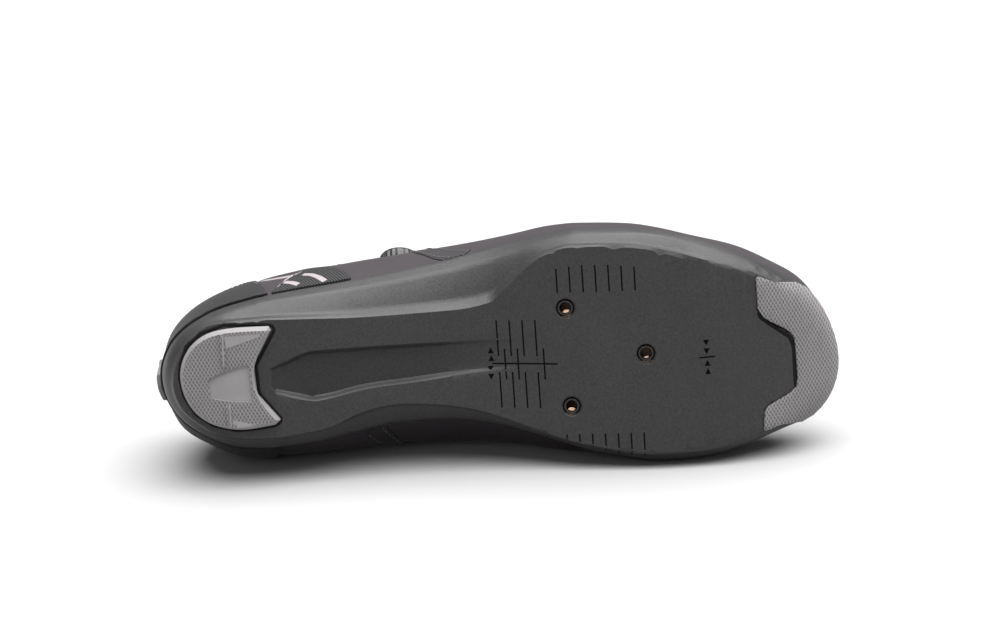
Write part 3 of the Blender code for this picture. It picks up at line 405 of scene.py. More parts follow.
class Finish:
    """A material with its nodes, so that a finish reads as a short recipe."""

    def __init__(self, name, base, roughness, metallic=0.0, **sockets):
        self.made = bpy.data.materials.new(name)
        self.made.use_nodes = True
        self.tree = self.made.node_tree
        self.shader = self.tree.nodes["Principled BSDF"]
        self.shader.inputs["Base Color"].default_value = (*base, 1)
        self.shader.inputs["Roughness"].default_value = roughness
        self.shader.inputs["Metallic"].default_value = metallic
        for key, value in sockets.items():
            self.shader.inputs[key.replace("_", " ")].default_value = value
        self.base = base
        self.bump = None
        self.made.diffuse_color = (*base, 1)

    def node(self, kind, **values):
        made = self.tree.nodes.new(kind)
        for key, value in values.items():
            if hasattr(made, key):
                setattr(made, key, value)
            else:
                made.inputs[key.replace("_", " ")].default_value = value
        return made

    def link(self, out, into):
        self.tree.links.new(out, into)

    def place(self, scale):
        """Object coordinates at a scale."""
        sized = self.node("ShaderNodeMapping")
        sized.inputs["Scale"].default_value = (scale,) * 3
        self.link(self.node("ShaderNodeTexCoord").outputs["Object"], sized.inputs["Vector"])
        return sized.outputs["Vector"]

    def axes(self):
        """Object coordinates turned into the shoe's frame, axis by axis."""
        to_shoe = self.node("ShaderNodeMapping", vector_type="TEXTURE")
        to_shoe.inputs["Location"].default_value = SHOE.translation
        to_shoe.inputs["Rotation"].default_value = SHOE.to_euler()
        self.link(self.node("ShaderNodeTexCoord").outputs["Object"], to_shoe.inputs["Vector"])
        split = self.node("ShaderNodeSeparateXYZ")
        self.link(to_shoe.outputs["Vector"], split.inputs[0])
        return split.outputs

    def noise(self, scale, detail=2.0, roughness=0.5):
        made = self.node("ShaderNodeTexNoise", Scale=1.0, Detail=detail, Roughness=roughness)
        self.link(self.place(scale), made.inputs["Vector"])
        return made.outputs["Fac"]

    def cells(self, scale):
        made = self.node("ShaderNodeTexVoronoi", feature="F1", Scale=1.0)
        self.link(self.place(scale), made.inputs["Vector"])
        return made.outputs["Distance"]

    def math(self, operation, a, b=0.0):
        made = self.node("ShaderNodeMath", operation=operation)
        for socket, value in zip(made.inputs, (a, b)):
            if isinstance(value, (int, float)):
                socket.default_value = value
            else:
                self.link(value, socket)
        return made.outputs[0]

    def ramp(self, value, low, high, from_low=0.0, from_high=1.0):
        made = self.node("ShaderNodeMapRange", clamp=True)
        self.link(value, made.inputs["Value"])
        made.inputs["From Min"].default_value = from_low
        made.inputs["From Max"].default_value = from_high
        made.inputs["To Min"].default_value = low
        made.inputs["To Max"].default_value = high
        return made.outputs["Result"]

    def raise_by(self, height, distance, strength=1.0):
        bump = self.node("ShaderNodeBump", Distance=distance, Strength=strength)
        self.link(height, bump.inputs["Height"])
        if self.bump:
            self.link(self.bump, bump.inputs["Normal"])
        self.bump = bump.outputs["Normal"]
        self.link(self.bump, self.shader.inputs["Normal"])

    def vary(self, value, darker, lighter):
        """Colour that wanders between two brightnesses of the base."""
        mix = self.node("ShaderNodeMix", data_type="RGBA")
        ends = [socket for socket in mix.inputs if socket.type == "RGBA"]
        for socket, brightness in zip(ends, (darker, lighter)):
            socket.default_value = (*[min(1, channel * brightness) for channel in self.base], 1)
        self.link(value, mix.inputs["Factor"])
        out = next(socket for socket in mix.outputs if socket.type == "RGBA")
        self.link(out, self.shader.inputs["Base Color"])

    def wander(self, value, darker, lighter):
        """Colour that follows a noise, over the middle of its range."""
        self.vary(self.ramp(value, 0.0, 1.0, *NOISE_MIDDLE), darker, lighter)

    def rough(self, value, low, high):
        self.link(self.ramp(value, low, high, *NOISE_MIDDLE), self.shader.inputs["Roughness"])


def moulded(name, base):
    """Dull moulded composite with a fine grain and soft clouds, darker in the recess as painted shade."""
    made = Finish(name, base, 0.5, Specular_IOR_Level=0.35)
    cloud = made.noise(38.0, 3.0, 0.55)
    grain = made.noise(1000.0, 3.0, 0.75)
    recess_painted_shade = made.node("ShaderNodeAttribute", attribute_name="recess_painted_shade").outputs["Fac"]
    clouded = made.ramp(cloud, 0.86, 1.0, *NOISE_MIDDLE)
    shade = made.math("MULTIPLY", clouded, made.ramp(grain, 0.62, 1.12, 0.35, 0.65))
    # Darker where the recess is deep: painted shade.
    shade = made.math("MULTIPLY", shade, made.ramp(recess_painted_shade, 1.0, 0.6))
    made.vary(shade, 0.0, 1.16)
    made.rough(cloud, 0.40, 0.54)
    made.raise_by(grain, 0.00012, 0.8)
    return made.made


def knurled(name, base, spacing):
    """Rubber pad with a lattice of small diamonds; the sunken cells are painted darker than the raised lines,
    painted shade.
    """
    made = Finish(name, base, 0.62, Specular_IOR_Level=0.3)
    axes = made.axes()
    along = made.math("DIVIDE", axes["X"], spacing)
    lines = []
    for sign in (1, -1):
        across = made.math("DIVIDE", axes["Y"], sign * spacing * DIAMOND_LENGTH)
        run = made.math("ADD", along, across)
        wave = made.math("PINGPONG", run, 0.5)
        lines.append(made.ramp(wave, 0.0, 1.0, 0.05, 0.22))
    lattice = made.math("MULTIPLY", lines[0], lines[1])
    cloud = made.noise(45.0, 3.0)
    grain = made.noise(2200.0, 2.0)
    # The sunken diamond cells are painted darker than the raised lines: painted shade.
    shade = made.math("MULTIPLY", made.ramp(lattice, 1.0, 0.46), made.ramp(cloud, 0.9, 1.0, *NOISE_MIDDLE))
    made.vary(shade, 0.0, 1.12)
    made.raise_by(made.math("SUBTRACT", 1.0, lattice), 0.00035, 0.7)
    made.raise_by(grain, 0.00005, 0.5)
    return made.made


def plain_pad(name, base):
    """The pads' smooth bevels and recess."""
    made = Finish(name, base, 0.58, Specular_IOR_Level=0.3)
    cloud = made.noise(60.0, 3.0)
    made.wander(cloud, 0.9, 1.06)
    made.raise_by(made.noise(2400.0, 2.0), 0.00005, 0.5)
    return made.made


def microfibre(name, base):
    """Matt microfibre with a fine leather grain."""
    made = Finish(name, base, 0.62, Specular_IOR_Level=0.22, Sheen_Weight=0.06, Sheen_Roughness=0.5)
    cloud = made.noise(30.0, 4.0, 0.6)
    grain = made.cells(1300.0)
    made.wander(cloud, 0.9, 1.1)
    made.rough(cloud, 0.56, 0.68)
    made.raise_by(grain, 0.00008, 0.45)
    made.raise_by(made.noise(240.0, 3.0), 0.00010, 0.35)
    return made.made


def woven(name, base, spacing=0.0009):
    """Lining or tongue fabric: a fine plain weave."""
    made = Finish(name, base, 0.85, Specular_IOR_Level=0.2, Sheen_Weight=0.3, Sheen_Roughness=0.5)
    axes = made.axes()
    waves = [made.math("SINE", made.math("MULTIPLY", axes[axis], 2 * pi / spacing)) for axis in "XY"]
    weave = made.math("MULTIPLY", *waves)
    made.vary(made.ramp(weave, 0.0, 1.0, -1.0, 1.0), 0.7, 1.3)
    made.raise_by(weave, 0.00012, 0.6)
    return made.made


def ribbed(name, base, spacing=0.00125):
    """Mesh panel with fine slanted ribs."""
    made = Finish(name, base, 0.6, Specular_IOR_Level=0.35)
    axes = made.axes()
    run = made.math("ADD", axes["X"], made.math("MULTIPLY", axes["Z"], 0.55))
    wave = made.math("SINE", made.math("MULTIPLY", run, 2 * pi / spacing))
    cross = made.math("SINE", made.math("MULTIPLY", axes["Z"], 2 * pi / (spacing * 0.6)))
    made.vary(made.ramp(wave, 0.0, 1.0, -1.0, 1.0), 0.5, 2.2)
    made.raise_by(wave, 0.00022, 0.9)
    made.raise_by(cross, 0.00008, 0.4)
    return made.made


def hard_plastic(name, base, roughness):
    """Moulded hard plastic with a faint grain."""
    made = Finish(name, base, roughness, Specular_IOR_Level=0.45)
    cloud = made.noise(90.0, 3.0)
    made.rough(cloud, roughness - 0.06, roughness + 0.08)
    made.wander(cloud, 0.9, 1.1)
    made.raise_by(made.noise(3000.0, 2.0), 0.00003, 0.5)
    return made.made


def turned_steel(name, base):
    """Machined steel, a little worn."""
    made = Finish(name, base, 0.3, metallic=1.0)
    wear = made.noise(700.0, 3.0)
    made.rough(wear, 0.22, 0.42)
    made.wander(wear, 0.7, 1.15)
    made.raise_by(made.noise(2500.0, 2.0), 0.00003, 0.5)
    return made.made


# Places on the shoe, in its own frame

BUTTON_RADIUS = 0.00205
BUTTON_FLATNESS = 0.35
BOARD_BUTTONS = ((0.16821, -0.0202, 0.0069), (0.16821, 0.0202, 0.0069), (0.19941, 0.0, 0.0036))
RECESS_DEPTH = 0.0016
BOTTOM_LEVELS = (
    # x, height of the flat bottom
    (0.0400, 0.00400),
    (0.0508, 0.00400),
    (0.0600, 0.00445),
    (0.0733, 0.00578),
    (0.0850, 0.00700),
    (0.0931, 0.00765),
    (0.1030, 0.00825),
    (0.1128, 0.00850),
    (0.1270, 0.00830),
    (0.1410, 0.00799),
    (0.1560, 0.00620),
)
SCALE_LEAN = 0.019
MARK_PROUD = 0.00004
MARK_WALL = MARK_PROUD * 1.5
POINTER_SIZE = 0.0024
POINTER_TIP = 0.00006
SCALE_STEP = 0.0052
OUTER_SCALE_STARTS = (-0.0392, -0.0400, -0.0404, -0.0404, -0.0402, -0.0397, -0.0391)
INNER_SCALE_ENDS = (0.0318, 0.0338, 0.0354, 0.0368, 0.0381, 0.0389, 0.0395)
SCALE_ROWS = (
    # first line's x, then where each line starts and ends across
    (0.1394, ((-0.0190, -0.0043), (-0.0188, -0.0040), (-0.0187, -0.0038), (-0.0186, -0.0037))),
    (0.1422, ((-0.0072, 0.0054), (-0.0070, 0.0057))),
    (0.1579, ((-0.0068, 0.0060),)),
    (0.1398, ((0.0023, 0.0171), (0.0025, 0.0174), (0.0027, 0.0177), (0.0029, 0.0179))),
    (0.1644, tuple((start, -0.0294) for start in OUTER_SCALE_STARTS)),
    (0.1658, tuple((0.0290, end) for end in INNER_SCALE_ENDS)),
)
SCALE_BASES = (((0.1371, -0.0012, 0), (0.1633, -0.0003, 0)), ((0.2205, -0.0007, 0), (0.2268, -0.0009, 0)))
SCALE_POINTERS = (
    # x, across, which way it points
    (0.1366, -0.0066, 1),
    (0.1367, -0.0034, 1),
    (0.1362, 0.0010, -1),
    (0.1363, 0.0041, -1),
    (0.2234, -0.0067, -1),
    (0.2235, -0.0032, -1),
    (0.2237, 0.0016, 1),
    (0.2238, 0.0050, 1),
)
HEEL_PAD_EDGE = (
    (0.0298, -0.0234),
    (0.0205, -0.0206),
    (0.0143, -0.0152),
    (0.0113, -0.0087),
    (0.0105, -0.0024),
    (0.0118, 0.0053),
    (0.0160, 0.0127),
    (0.0227, 0.0177),
    (0.0321, 0.0203),
    (0.0401, 0.0200),
    (0.0485, 0.0189),
    (0.0509, 0.0166),
    (0.0423, 0.0052),
    (0.0418, -0.0064),
    (0.0501, -0.0203),
    (0.0492, -0.0226),
)
TOE_PAD_EDGE = (
    (0.2459, 0.0312),
    (0.2459, 0.0283),
    (0.2478, 0.0261),
    (0.2588, 0.0204),
    (0.2600, 0.0178),
    (0.2596, -0.0022),
    (0.2578, -0.0060),
    (0.2541, -0.0088),
    (0.2510, -0.0111),
    (0.2484, -0.0132),
    (0.2454, -0.0162),
    (0.2449, -0.0250),
)
GROOVE_PROUD = 0.00025
GROOVE_POINTS = 90
# Dark beads along the pads' edges stand for the shadow in the grooves: painted shadow.
PAD_GROOVES = (
    # name, edge, whether it closes, bead radius
    ("heel_groove_shadow", HEEL_PAD_EDGE, True, 0.0011),
    ("toe_groove_shadow", TOE_PAD_EDGE, False, 0.0024),
)
LIP_LINE = (
    (0.0250, -0.0275, 0),
    (0.0443, -0.0272, 0),
    (0.0632, -0.0264, 0),
    (0.0845, -0.0256, 0),
    (0.1008, -0.0256, 0),
    (0.1170, -0.0258, 0),
    (0.1333, -0.0272, 0),
    (0.1496, -0.0300, 0),
)
SOLE_TROUGHS = (
    # line, look, width, depth in metres: a hollow on the lip's upper side
    (LIP_LINE, FROM_ABOVE, 0.0030, 0.0026),
)
PAD_BEVEL = 0.00035
KNURL_WRAP = -0.1
FLAT_FACING = 0.94
PLAIN_DEPTH = 0.0012
FLAT_PROUD = 0.0001
FLAT_WALL = 0.0002
RIB_RADIUS = 0.0004
RIB_POINTS = 16
HEEL_RIBS = (
    ((0.0296, -0.0195, 0), (0.0294, -0.0141, 0), (0.0291, -0.0064, 0)),
    ((0.0304, 0.0082, 0), (0.0305, 0.0131, 0), (0.0304, 0.0178, 0)),
)
HEEL_FLATS = (
    # line, width, far width
    (((0.0440, -0.0190, 0), (0.0302, -0.0168, 0)), 0.0010, 0.0050),
    (((0.0400, 0.0178, 0), (0.0310, 0.0165, 0)), 0.0006, 0.0034),
)
TOE_CREASES = (
    # line, width, depth as a share of the crease depth
    (((0.184, -0.046, 0.03), (0.188, -0.034, 0.05), (0.190, -0.015, 0.06), (0.189, 0.004, 0.06)), 0.003, 2.0),
    (((0.197, -0.047, 0.03), (0.199, -0.036, 0.05), (0.2, -0.018, 0.06), (0.201, 0.01, 0.06)), 0.0034, 2.6),
    (((0.209, -0.044, 0.03), (0.209, -0.034, 0.05), (0.211, -0.016, 0.06), (0.213, 0.012, 0.06)), 0.003, 2.0),
    (((0.190, 0.046, 0.030), (0.193, 0.036, 0.05), (0.196, 0.018, 0.06)), 0.0030, 2.0),
    (((0.205, 0.045, 0.030), (0.205, 0.034, 0.05), (0.207, 0.018, 0.06)), 0.0032, 2.2),
)
COLLAR_ROLL = (
    (0.006, 0, 0.074),
    (0.018, 0, 0.072),
    (0.032, 0, 0.066),
    (0.046, 0, 0.059),
    (0.062, 0, 0.057),
    (0.074, 0, 0.062),
)
COLLAR_CREASE = (
    (0.006, 0, 0.067),
    (0.018, 0, 0.065),
    (0.032, 0, 0.059),
    (0.046, 0, 0.052),
    (0.062, 0, 0.050),
    (0.078, 0, 0.056),
)
COLLAR_TROUGHS = (
    # line, look, width, depth as a share of the crease depth, where less than nothing is a ridge
    (COLLAR_ROLL, FROM_OUTER, 0.0055, -2.2),
    (COLLAR_ROLL, FROM_INNER, 0.0055, -2.2),
    (COLLAR_CREASE, FROM_OUTER, 0.0020, 1.2),
    (COLLAR_CREASE, FROM_INNER, 0.0020, 1.2),
)
UPPER_TROUGHS = tuple((line, FROM_ABOVE, width, depth) for line, width, depth in TOE_CREASES) + COLLAR_TROUGHS
OUTER_BAND = ((0.1275, 0, 0.0275), (0.1185, 0, 0.0342), (0.1108, 0, 0.045), (0.1075, 0, 0.060))
INNER_BAND = ((0.0865, 0, 0.0268), (0.0930, 0, 0.0379), (0.0985, 0, 0.052), (0.1030, 0, 0.066))
SIDE_BANDS = (
    # name, line up the side, look, width at the sole and at the throat
    ("outer_band", OUTER_BAND, FROM_OUTER, 0.0098, 0.0068),
    ("inner_band", INNER_BAND, FROM_INNER, 0.0078, 0.0072),
)
BAND_PROUD = 0.0004
BAND_WALL = 0.0004
BAND_BEVEL = 0.00015
OUTER_BAND_SEAMS = (
    ((0.1240, 0, 0.0268), (0.1160, 0, 0.0325), (0.1078, 0, 0.044), (0.1045, 0, 0.0595)),
    ((0.1300, 0, 0.0298), (0.1212, 0, 0.0362), (0.1140, 0, 0.046), (0.1104, 0, 0.0605)),
)
INNER_BAND_SEAMS = (
    ((0.0842, 0, 0.0290), (0.0904, 0, 0.0395), (0.0957, 0, 0.053), (0.1002, 0, 0.066)),
    ((0.0895, 0, 0.0268), (0.0956, 0, 0.0368), (0.1013, 0, 0.051), (0.1058, 0, 0.065)),
)
COLLAR_SEAM = (
    (0.014, 0, 0.067),
    (0.024, 0, 0.063),
    (0.036, 0, 0.057),
    (0.048, 0, 0.051),
    (0.062, 0, 0.0495),
    (0.076, 0, 0.054),
)
CUP_SEAM = (
    (0.0415, 0, 0.034),
    (0.0375, 0, 0.0452),
    (0.0325, 0, 0.0505),
    (0.0230, 0, 0.0555),
    (0.0120, 0, 0.0595),
)
OUTER_THROAT_SEAM = (
    (0.118, -0.0155, 0.1),
    (0.140, -0.0155, 0.1),
    (0.158, -0.0138, 0.1),
    (0.170, -0.0105, 0.1),
    (0.1785, 0.0, 0.1),
)
INNER_THROAT_SEAM = (
    (0.112, 0.0225, 0.1),
    (0.140, 0.0215, 0.1),
    (0.158, 0.0205, 0.1),
    (0.170, 0.0160, 0.1),
    (0.1785, 0.005, 0.1),
)
PRINT_PROUD = 0.0001
PRINT_WALL = 0.0002
PIPING_WIDTH = 0.0007
PIPING_PITCH = 0.0021
PIPING_SHARE = 0.7
STRIPE_WIDTH = 0.0025
TAG_WIDTH = 0.0034
TAG_PROUD = 0.0002
TAG_WALL = 0.0003
PANEL_PIPING = ((0.0502, 0, 0.0270), (0.0528, 0, 0.0325), (0.0560, 0, 0.0370), (0.0600, 0, 0.0402))
PANEL_STRIPES = (
    ((0.0605, 0, 0.0352), (0.0640, 0, 0.0334), (0.0672, 0, 0.0298), (0.0700, 0, 0.0258)),
    ((0.0530, 0, 0.0300), (0.0562, 0, 0.0283), (0.0590, 0, 0.0258)),
)
REFLECTIVE_TAG = ((0.0425, 0, 0.0445), (0.0462, 0, 0.0425), (0.0520, 0, 0.0408), (0.0585, 0, 0.0395))
INSIDE_CORE = Vector((0.014, 0.001, 0.032))
INSIDE_CORE_ALONG = 0.9

# Places on the stage, in metres, and the photograph's framing in pixels

FLOOR_SIZE = 8.0
LAMP_AIM = Vector((0, 0, 0.04))
KEY_PLACE = (0.18, 0.0, 1.0)
KEY_SPREAD = radians(85)
CARD_PLACE = (-0.45, -1.1, 0.55)
CARD_SIZE = 0.7
CAMERA_AIM = (0.141, -0.0196, 0.005)
SENSOR_WIDTH = 36.0
PICTURE_WIDTH = 1000
FOCAL_PIXELS = 2404


# Tests of a place on the shoe

def in_recess(place):
    """Whether a spot is in the long recess of the waist."""
    return 0.040 < place.x < 0.156 and abs(place.y) < 0.0125 and place.z < 0.0115


def by_toe_edge(place):
    """Whether a spot is by the toe bumper's inner edge."""
    return 0.240 < place.x < 0.2625


def held_crisp(place):
    """Whether the sole's folds stay sharp at a spot."""
    return in_recess(place) or by_toe_edge(place)


def faces_inside(centre, normal):
    """Whether a face of the upper looks to the shoe's hollow."""
    core = INSIDE_CORE + Vector((centre.x * INSIDE_CORE_ALONG, 0, 0))
    return (centre - core).dot(normal) < 0


def recess_ground(x):
    """Height of the flat bottom beside the recess."""
    for (x0, z0), (x1, z1) in zip(BOTTOM_LEVELS, BOTTOM_LEVELS[1:]):
        if x <= x1:
            return z0 + (z1 - z0) * (x - x0) / (x1 - x0)
    return BOTTOM_LEVELS[-1][1]


def deepen_recess(made, extra):
    """Sinks the recess's floor further, its bevels in proportion, and keeps each point's depth for the
    painted shade in the recess.
    """
    to_shoe = SHOE.inverted()
    up = SHOE.to_3x3().col[2]
    # Each point's depth share also darkens the sole's colour there: painted shade in the recess.
    recess_painted_shade = made.data.attributes.new("recess_painted_shade", "FLOAT", "POINT")
    for vert in made.data.vertices:
        place = to_shoe @ vert.co
        if in_recess(place):
            depth = max(0.0, min(1.0, (place.z - recess_ground(place.x)) / RECESS_DEPTH))
            vert.co += up * extra * depth
            recess_painted_shade.data[vert.index].value = depth


# Operators


class SHOE_OT_sole(bpy.types.Operator):
    """Smooth the moulded sole and give it its composite finish"""

    bl_idname = "shoe.sole"
    bl_label = "Sole"

    def execute(self, context):
        sole = context.scene.shoe_sole
        made = node_copy("outsole", "moulded_sole")
        round_off(made, sole.smoothing, radians(24), 0.9, held_crisp)
        context.view_layer.update()
        press(made, SOLE_TROUGHS)
        deepen_recess(made, sole.recess_extra)
        soft_shade(made, radians(22))
        paint(made, moulded("sole_composite", sole.sole))
        settle(made, "outsole")
        return {"FINISHED"}


class SHOE_OT_marks(bpy.types.Operator):
    """Cleat scale: rows of thin lines and small triangles, near-black sheets that paint the shade in the
    engraved marks
    """

    bl_idname = "shoe.marks"
    bl_label = "Scale marks"

    def execute(self, context):
        sole = context.scene.shoe_sole
        ground = bpy.data.objects["moulded_sole"]
        context.view_layer.update()
        # The marks are near-black sheets on the sole: painted shade in the engraved lines.
        engraving_shade = Finish("mark_painted_shade", sole.mark, 0.8, Specular_IOR_Level=0.05).made
        bands = []
        for first, spans in SCALE_ROWS:
            for i, (start, end) in enumerate(spans):
                x = first + SCALE_STEP * i
                line = ((x, start, 0), (x + (end - start) * SCALE_LEAN, end, 0))
                bands.append(strip(line, sole.mark_width, FROM_BELOW, ground, MARK_PROUD, rows=6))
        for line in SCALE_BASES:
            bands.append(strip(line, sole.mark_width, FROM_BELOW, ground, MARK_PROUD, rows=6))
        for x, y, way in SCALE_POINTERS:
            line = ((x, y + way * POINTER_SIZE / 2, 0), (x, y - way * POINTER_SIZE / 2, 0))
            bands.append(strip(line, POINTER_SIZE, FROM_BELOW, ground, MARK_PROUD, 2, 1, POINTER_TIP))
        made = joined("scale_marks", bands, MARK_WALL)
        paint(made, engraving_shade)
        settle(made)
        return {"FINISHED"}


class SHOE_OT_grooves(bpy.types.Operator):
    """Dark beads let into the sole along the pads' edges: painted shadow in the grooves round the pads"""

    bl_idname = "shoe.grooves"
    bl_label = "Pad grooves"

    def execute(self, context):
        sole = context.scene.shoe_sole
        ground = bpy.data.objects["moulded_sole"]
        context.view_layer.update()
        shadow = Finish("groove_painted_shadow", sole.groove_shadow, 0.8, Specular_IOR_Level=0.1).made
        # The beads' near-black colour is painted shadow for the grooves.
        for name, edge, closed, radius in PAD_GROOVES:
            flat = [Vector((x, y, 0)) for x, y in edge]
            if closed:
                flat.append(flat[0])
            points = []
            for i in range(GROOVE_POINTS if closed else GROOVE_POINTS + 1):
                point, normal = land(ground, at(flat, i / GROOVE_POINTS), FROM_BELOW)
                points.append(point - normal * (radius - GROOVE_PROUD))
            made = bead(name, points, radius, closed)
            soft_shade(made, ALL_SMOOTH)
            paint(made, shadow)
            settle(made)
        return {"FINISHED"}


class SHOE_OT_pads(bpy.types.Operator):
    """Texture the heel pad and the toe bumper"""

    bl_idname = "shoe.pads"
    bl_label = "Pads"

    def execute(self, context):
        sole = context.scene.shoe_sole
        texture = knurled("pad_knurl", sole.pad, sole.knurl)
        smooth = plain_pad("pad_plain", sole.pad)
        down = SHOE.to_3x3() @ Vector(FROM_ABOVE)
        for node, name, levels in (("heel_pad", "heel_pad_rubber", 2), ("toe_pad", "toe_bumper", 0)):
            made = node_copy(node, name)
            if levels:
                round_off(made, levels, radians(30))
            soften(made, PAD_BEVEL, EDGE_ANGLE)
            soft_shade(made, radians(40))
            paint(made, texture, smooth)
            high = max(down.dot(vert.co) for vert in made.data.vertices)
            for face in made.data.polygons:
                if node == "toe_pad":
                    face.material_index = 0 if face.normal.dot(down) > KNURL_WRAP else 1
                    continue
                flat = face.normal.dot(down) > FLAT_FACING
                deep = down.dot(face.center) < high - PLAIN_DEPTH
                face.material_index = 0 if flat and not deep else 1
            settle(made, node)
        heel = bpy.data.objects["heel_pad_rubber"]
        context.view_layer.update()
        pieces = []
        for line, width, far_width in HEEL_FLATS:
            pieces.append(strip(line, width, FROM_BELOW, heel, FLAT_PROUD, 12, 2, far_width))
        made = joined("heel_pad_flats", pieces, FLAT_WALL)
        paint(made, smooth)
        settle(made)
        for number, line in enumerate(HEEL_RIBS, 1):
            line = [Vector(point) for point in line]
            places = [at(line, i / RIB_POINTS) for i in range(RIB_POINTS + 1)]
            landed = [land(heel, place, FROM_BELOW)[0] for place in places]
            made = bead(f"heel_pad_rib_{number}", landed, RIB_RADIUS)
            soft_shade(made, ALL_SMOOTH)
            paint(made, smooth)
            settle(made)
        return {"FINISHED"}


class SHOE_OT_inserts(bpy.types.Operator):
    """Turned steel inserts for the cleat bolts"""

    bl_idname = "shoe.inserts"
    bl_label = "Cleat inserts"

    def execute(self, context):
        steel = turned_steel("insert_steel", context.scene.shoe_sole.insert)
        for number in (1, 2, 3):
            made = node_copy(f"cleat_insert_{number}", f"threaded_insert_{number}")
            soft_shade(made)
            paint(made, steel)
            settle(made, f"cleat_insert_{number}")
        # The board's brown is real; its extra brightness is painted light inside the insert holes.
        board = woven("board_painted_light", context.scene.shoe_sole.board, 0.0006)
        buttons = []
        for place in BOARD_BUTTONS:
            deselect()
            bpy.ops.mesh.primitive_uv_sphere_add(segments=24, ring_count=12, radius=BUTTON_RADIUS)
            button = context.object
            flatten = Matrix.Diagonal((1, 1, BUTTON_FLATNESS, 1))
            button.matrix_world = SHOE @ Matrix.Translation(place) @ flatten
            bpy.ops.object.transform_apply(location=True, rotation=True, scale=True)
            buttons.append(button)
        made = merged("board_in_inserts", buttons)
        soft_shade(made, ALL_SMOOTH)
        paint(made, board)
        settle(made)
        return {"FINISHED"}


class SHOE_OT_upper(bpy.types.Operator):
    """Smooth the upper and its overlays"""

    bl_idname = "shoe.upper"
    bl_label = "Upper"

    def execute(self, context):
        upper = context.scene.shoe_upper
        skin = microfibre("microfibre_grain", upper.upper)
        made = node_copy("upper", "upper_skin")
        round_off(made, upper.smoothing, radians(50), 0.7)
        context.view_layer.update()
        crease = upper.crease_depth
        press(made, [(line, look, width, depth * crease) for line, look, width, depth in UPPER_TROUGHS])
        soft_shade(made, radians(45))
        paint(made, skin, woven("lining_weave", upper.lining))
        to_shoe = SHOE.inverted()
        turn = to_shoe.to_3x3()
        for face in made.data.polygons:
            face.material_index = int(faces_inside(to_shoe @ face.center, turn @ face.normal))
        settle(made, "upper")
        for node, name, finish, slot in (
            ("heel_counter", "heel_cup", microfibre("cup_microfibre", upper.cup), "upper_microfibre"),
            ("quarter_panel", "mesh_panel", ribbed("panel_ribs", upper.panel), "ribbed_mesh"),
            ("heel_tab", "heel_tab_shell", hard_plastic("tab_plastic", upper.tab, 0.5), "tab_grey"),
        ):
            made = node_copy(node, name)
            round_off(made, 2, radians(35), 1.0)
            soft_shade(made, radians(40))
            paint(made, finish)
            settle(made, node)
        return {"FINISHED"}


class SHOE_OT_overlays(bpy.types.Operator):
    """Side bands, seams, stitches and piping on the upper"""

    bl_idname = "shoe.overlays"
    bl_label = "Overlays and seams"

    def execute(self, context):
        upper = context.scene.shoe_upper
        skin = bpy.data.objects["upper_skin"]
        cup = bpy.data.objects["heel_cup"]
        panel = bpy.data.objects["mesh_panel"]
        context.view_layer.update()
        band = microfibre("band_microfibre", upper.band)
        thread = Finish("seam_thread", upper.thread, 0.7, Sheen_Weight=0.2).made
        bright = Finish("reflective_print", upper.stripe, 0.45).made
        for name, line, look, width, far_width in SIDE_BANDS:
            made = joined(name, [strip(line, width, look, skin, BAND_PROUD, 24, 8, far_width)], BAND_WALL)
            soften(made, BAND_BEVEL)
            soft_shade(made, radians(40))
            paint(made, band)
            settle(made)
        context.view_layer.update()
        for name, lines, look, target in (
            ("outer_band_stitches", OUTER_BAND_SEAMS, FROM_OUTER, bpy.data.objects["outer_band"]),
            ("inner_band_stitches", INNER_BAND_SEAMS, FROM_INNER, bpy.data.objects["inner_band"]),
            ("collar_stitches_outer", (COLLAR_SEAM,), FROM_OUTER, skin),
            ("collar_stitches_inner", (COLLAR_SEAM,), FROM_INNER, skin),
            ("cup_stitches_outer", (CUP_SEAM,), FROM_OUTER, cup),
            ("cup_stitches_inner", (CUP_SEAM,), FROM_INNER, cup),
            ("throat_stitches", (OUTER_THROAT_SEAM, INNER_THROAT_SEAM), FROM_ABOVE, skin),
        ):
            seam(name, lines, look, target, thread)
        cuts = dashes(PANEL_PIPING, PIPING_PITCH, PIPING_SHARE)
        piping = [strip(line, PIPING_WIDTH, FROM_OUTER, panel, PRINT_PROUD, 6) for line in cuts]
        made = joined("panel_piping", piping, PRINT_WALL)
        paint(made, bright)
        settle(made)
        stripes = [
            strip(line, STRIPE_WIDTH, FROM_OUTER, panel, PRINT_PROUD, 12, 2) for line in PANEL_STRIPES
        ]
        made = joined("panel_stripes", stripes, PRINT_WALL)
        paint(made, bright)
        settle(made)
        tag = strip(REFLECTIVE_TAG, TAG_WIDTH, FROM_OUTER, skin, TAG_PROUD, 12, 3)
        made = joined("reflective_tag", [tag], TAG_WALL)
        paint(made, bright)
        settle(made)
        return {"FINISHED"}


class SHOE_OT_inside(bpy.types.Operator):
    """Padded tongue and moulded insole"""

    bl_idname = "shoe.inside"
    bl_label = "Tongue and insole"

    def execute(self, context):
        upper = context.scene.shoe_upper
        made = node_copy("tongue", "padded_tongue")
        round_off(made, 2, radians(70), 0.4)
        soft_shade(made, ALL_SMOOTH)
        paint(made, woven("tongue_weave", upper.lining))
        settle(made, "tongue")
        made = node_copy("insole", "sock_liner")
        round_off(made, 1, radians(60), 0.8)
        soft_shade(made, radians(50))
        paint(made, woven("liner_weave", upper.board, 0.0007))
        settle(made, "insole")
        return {"FINISHED"}


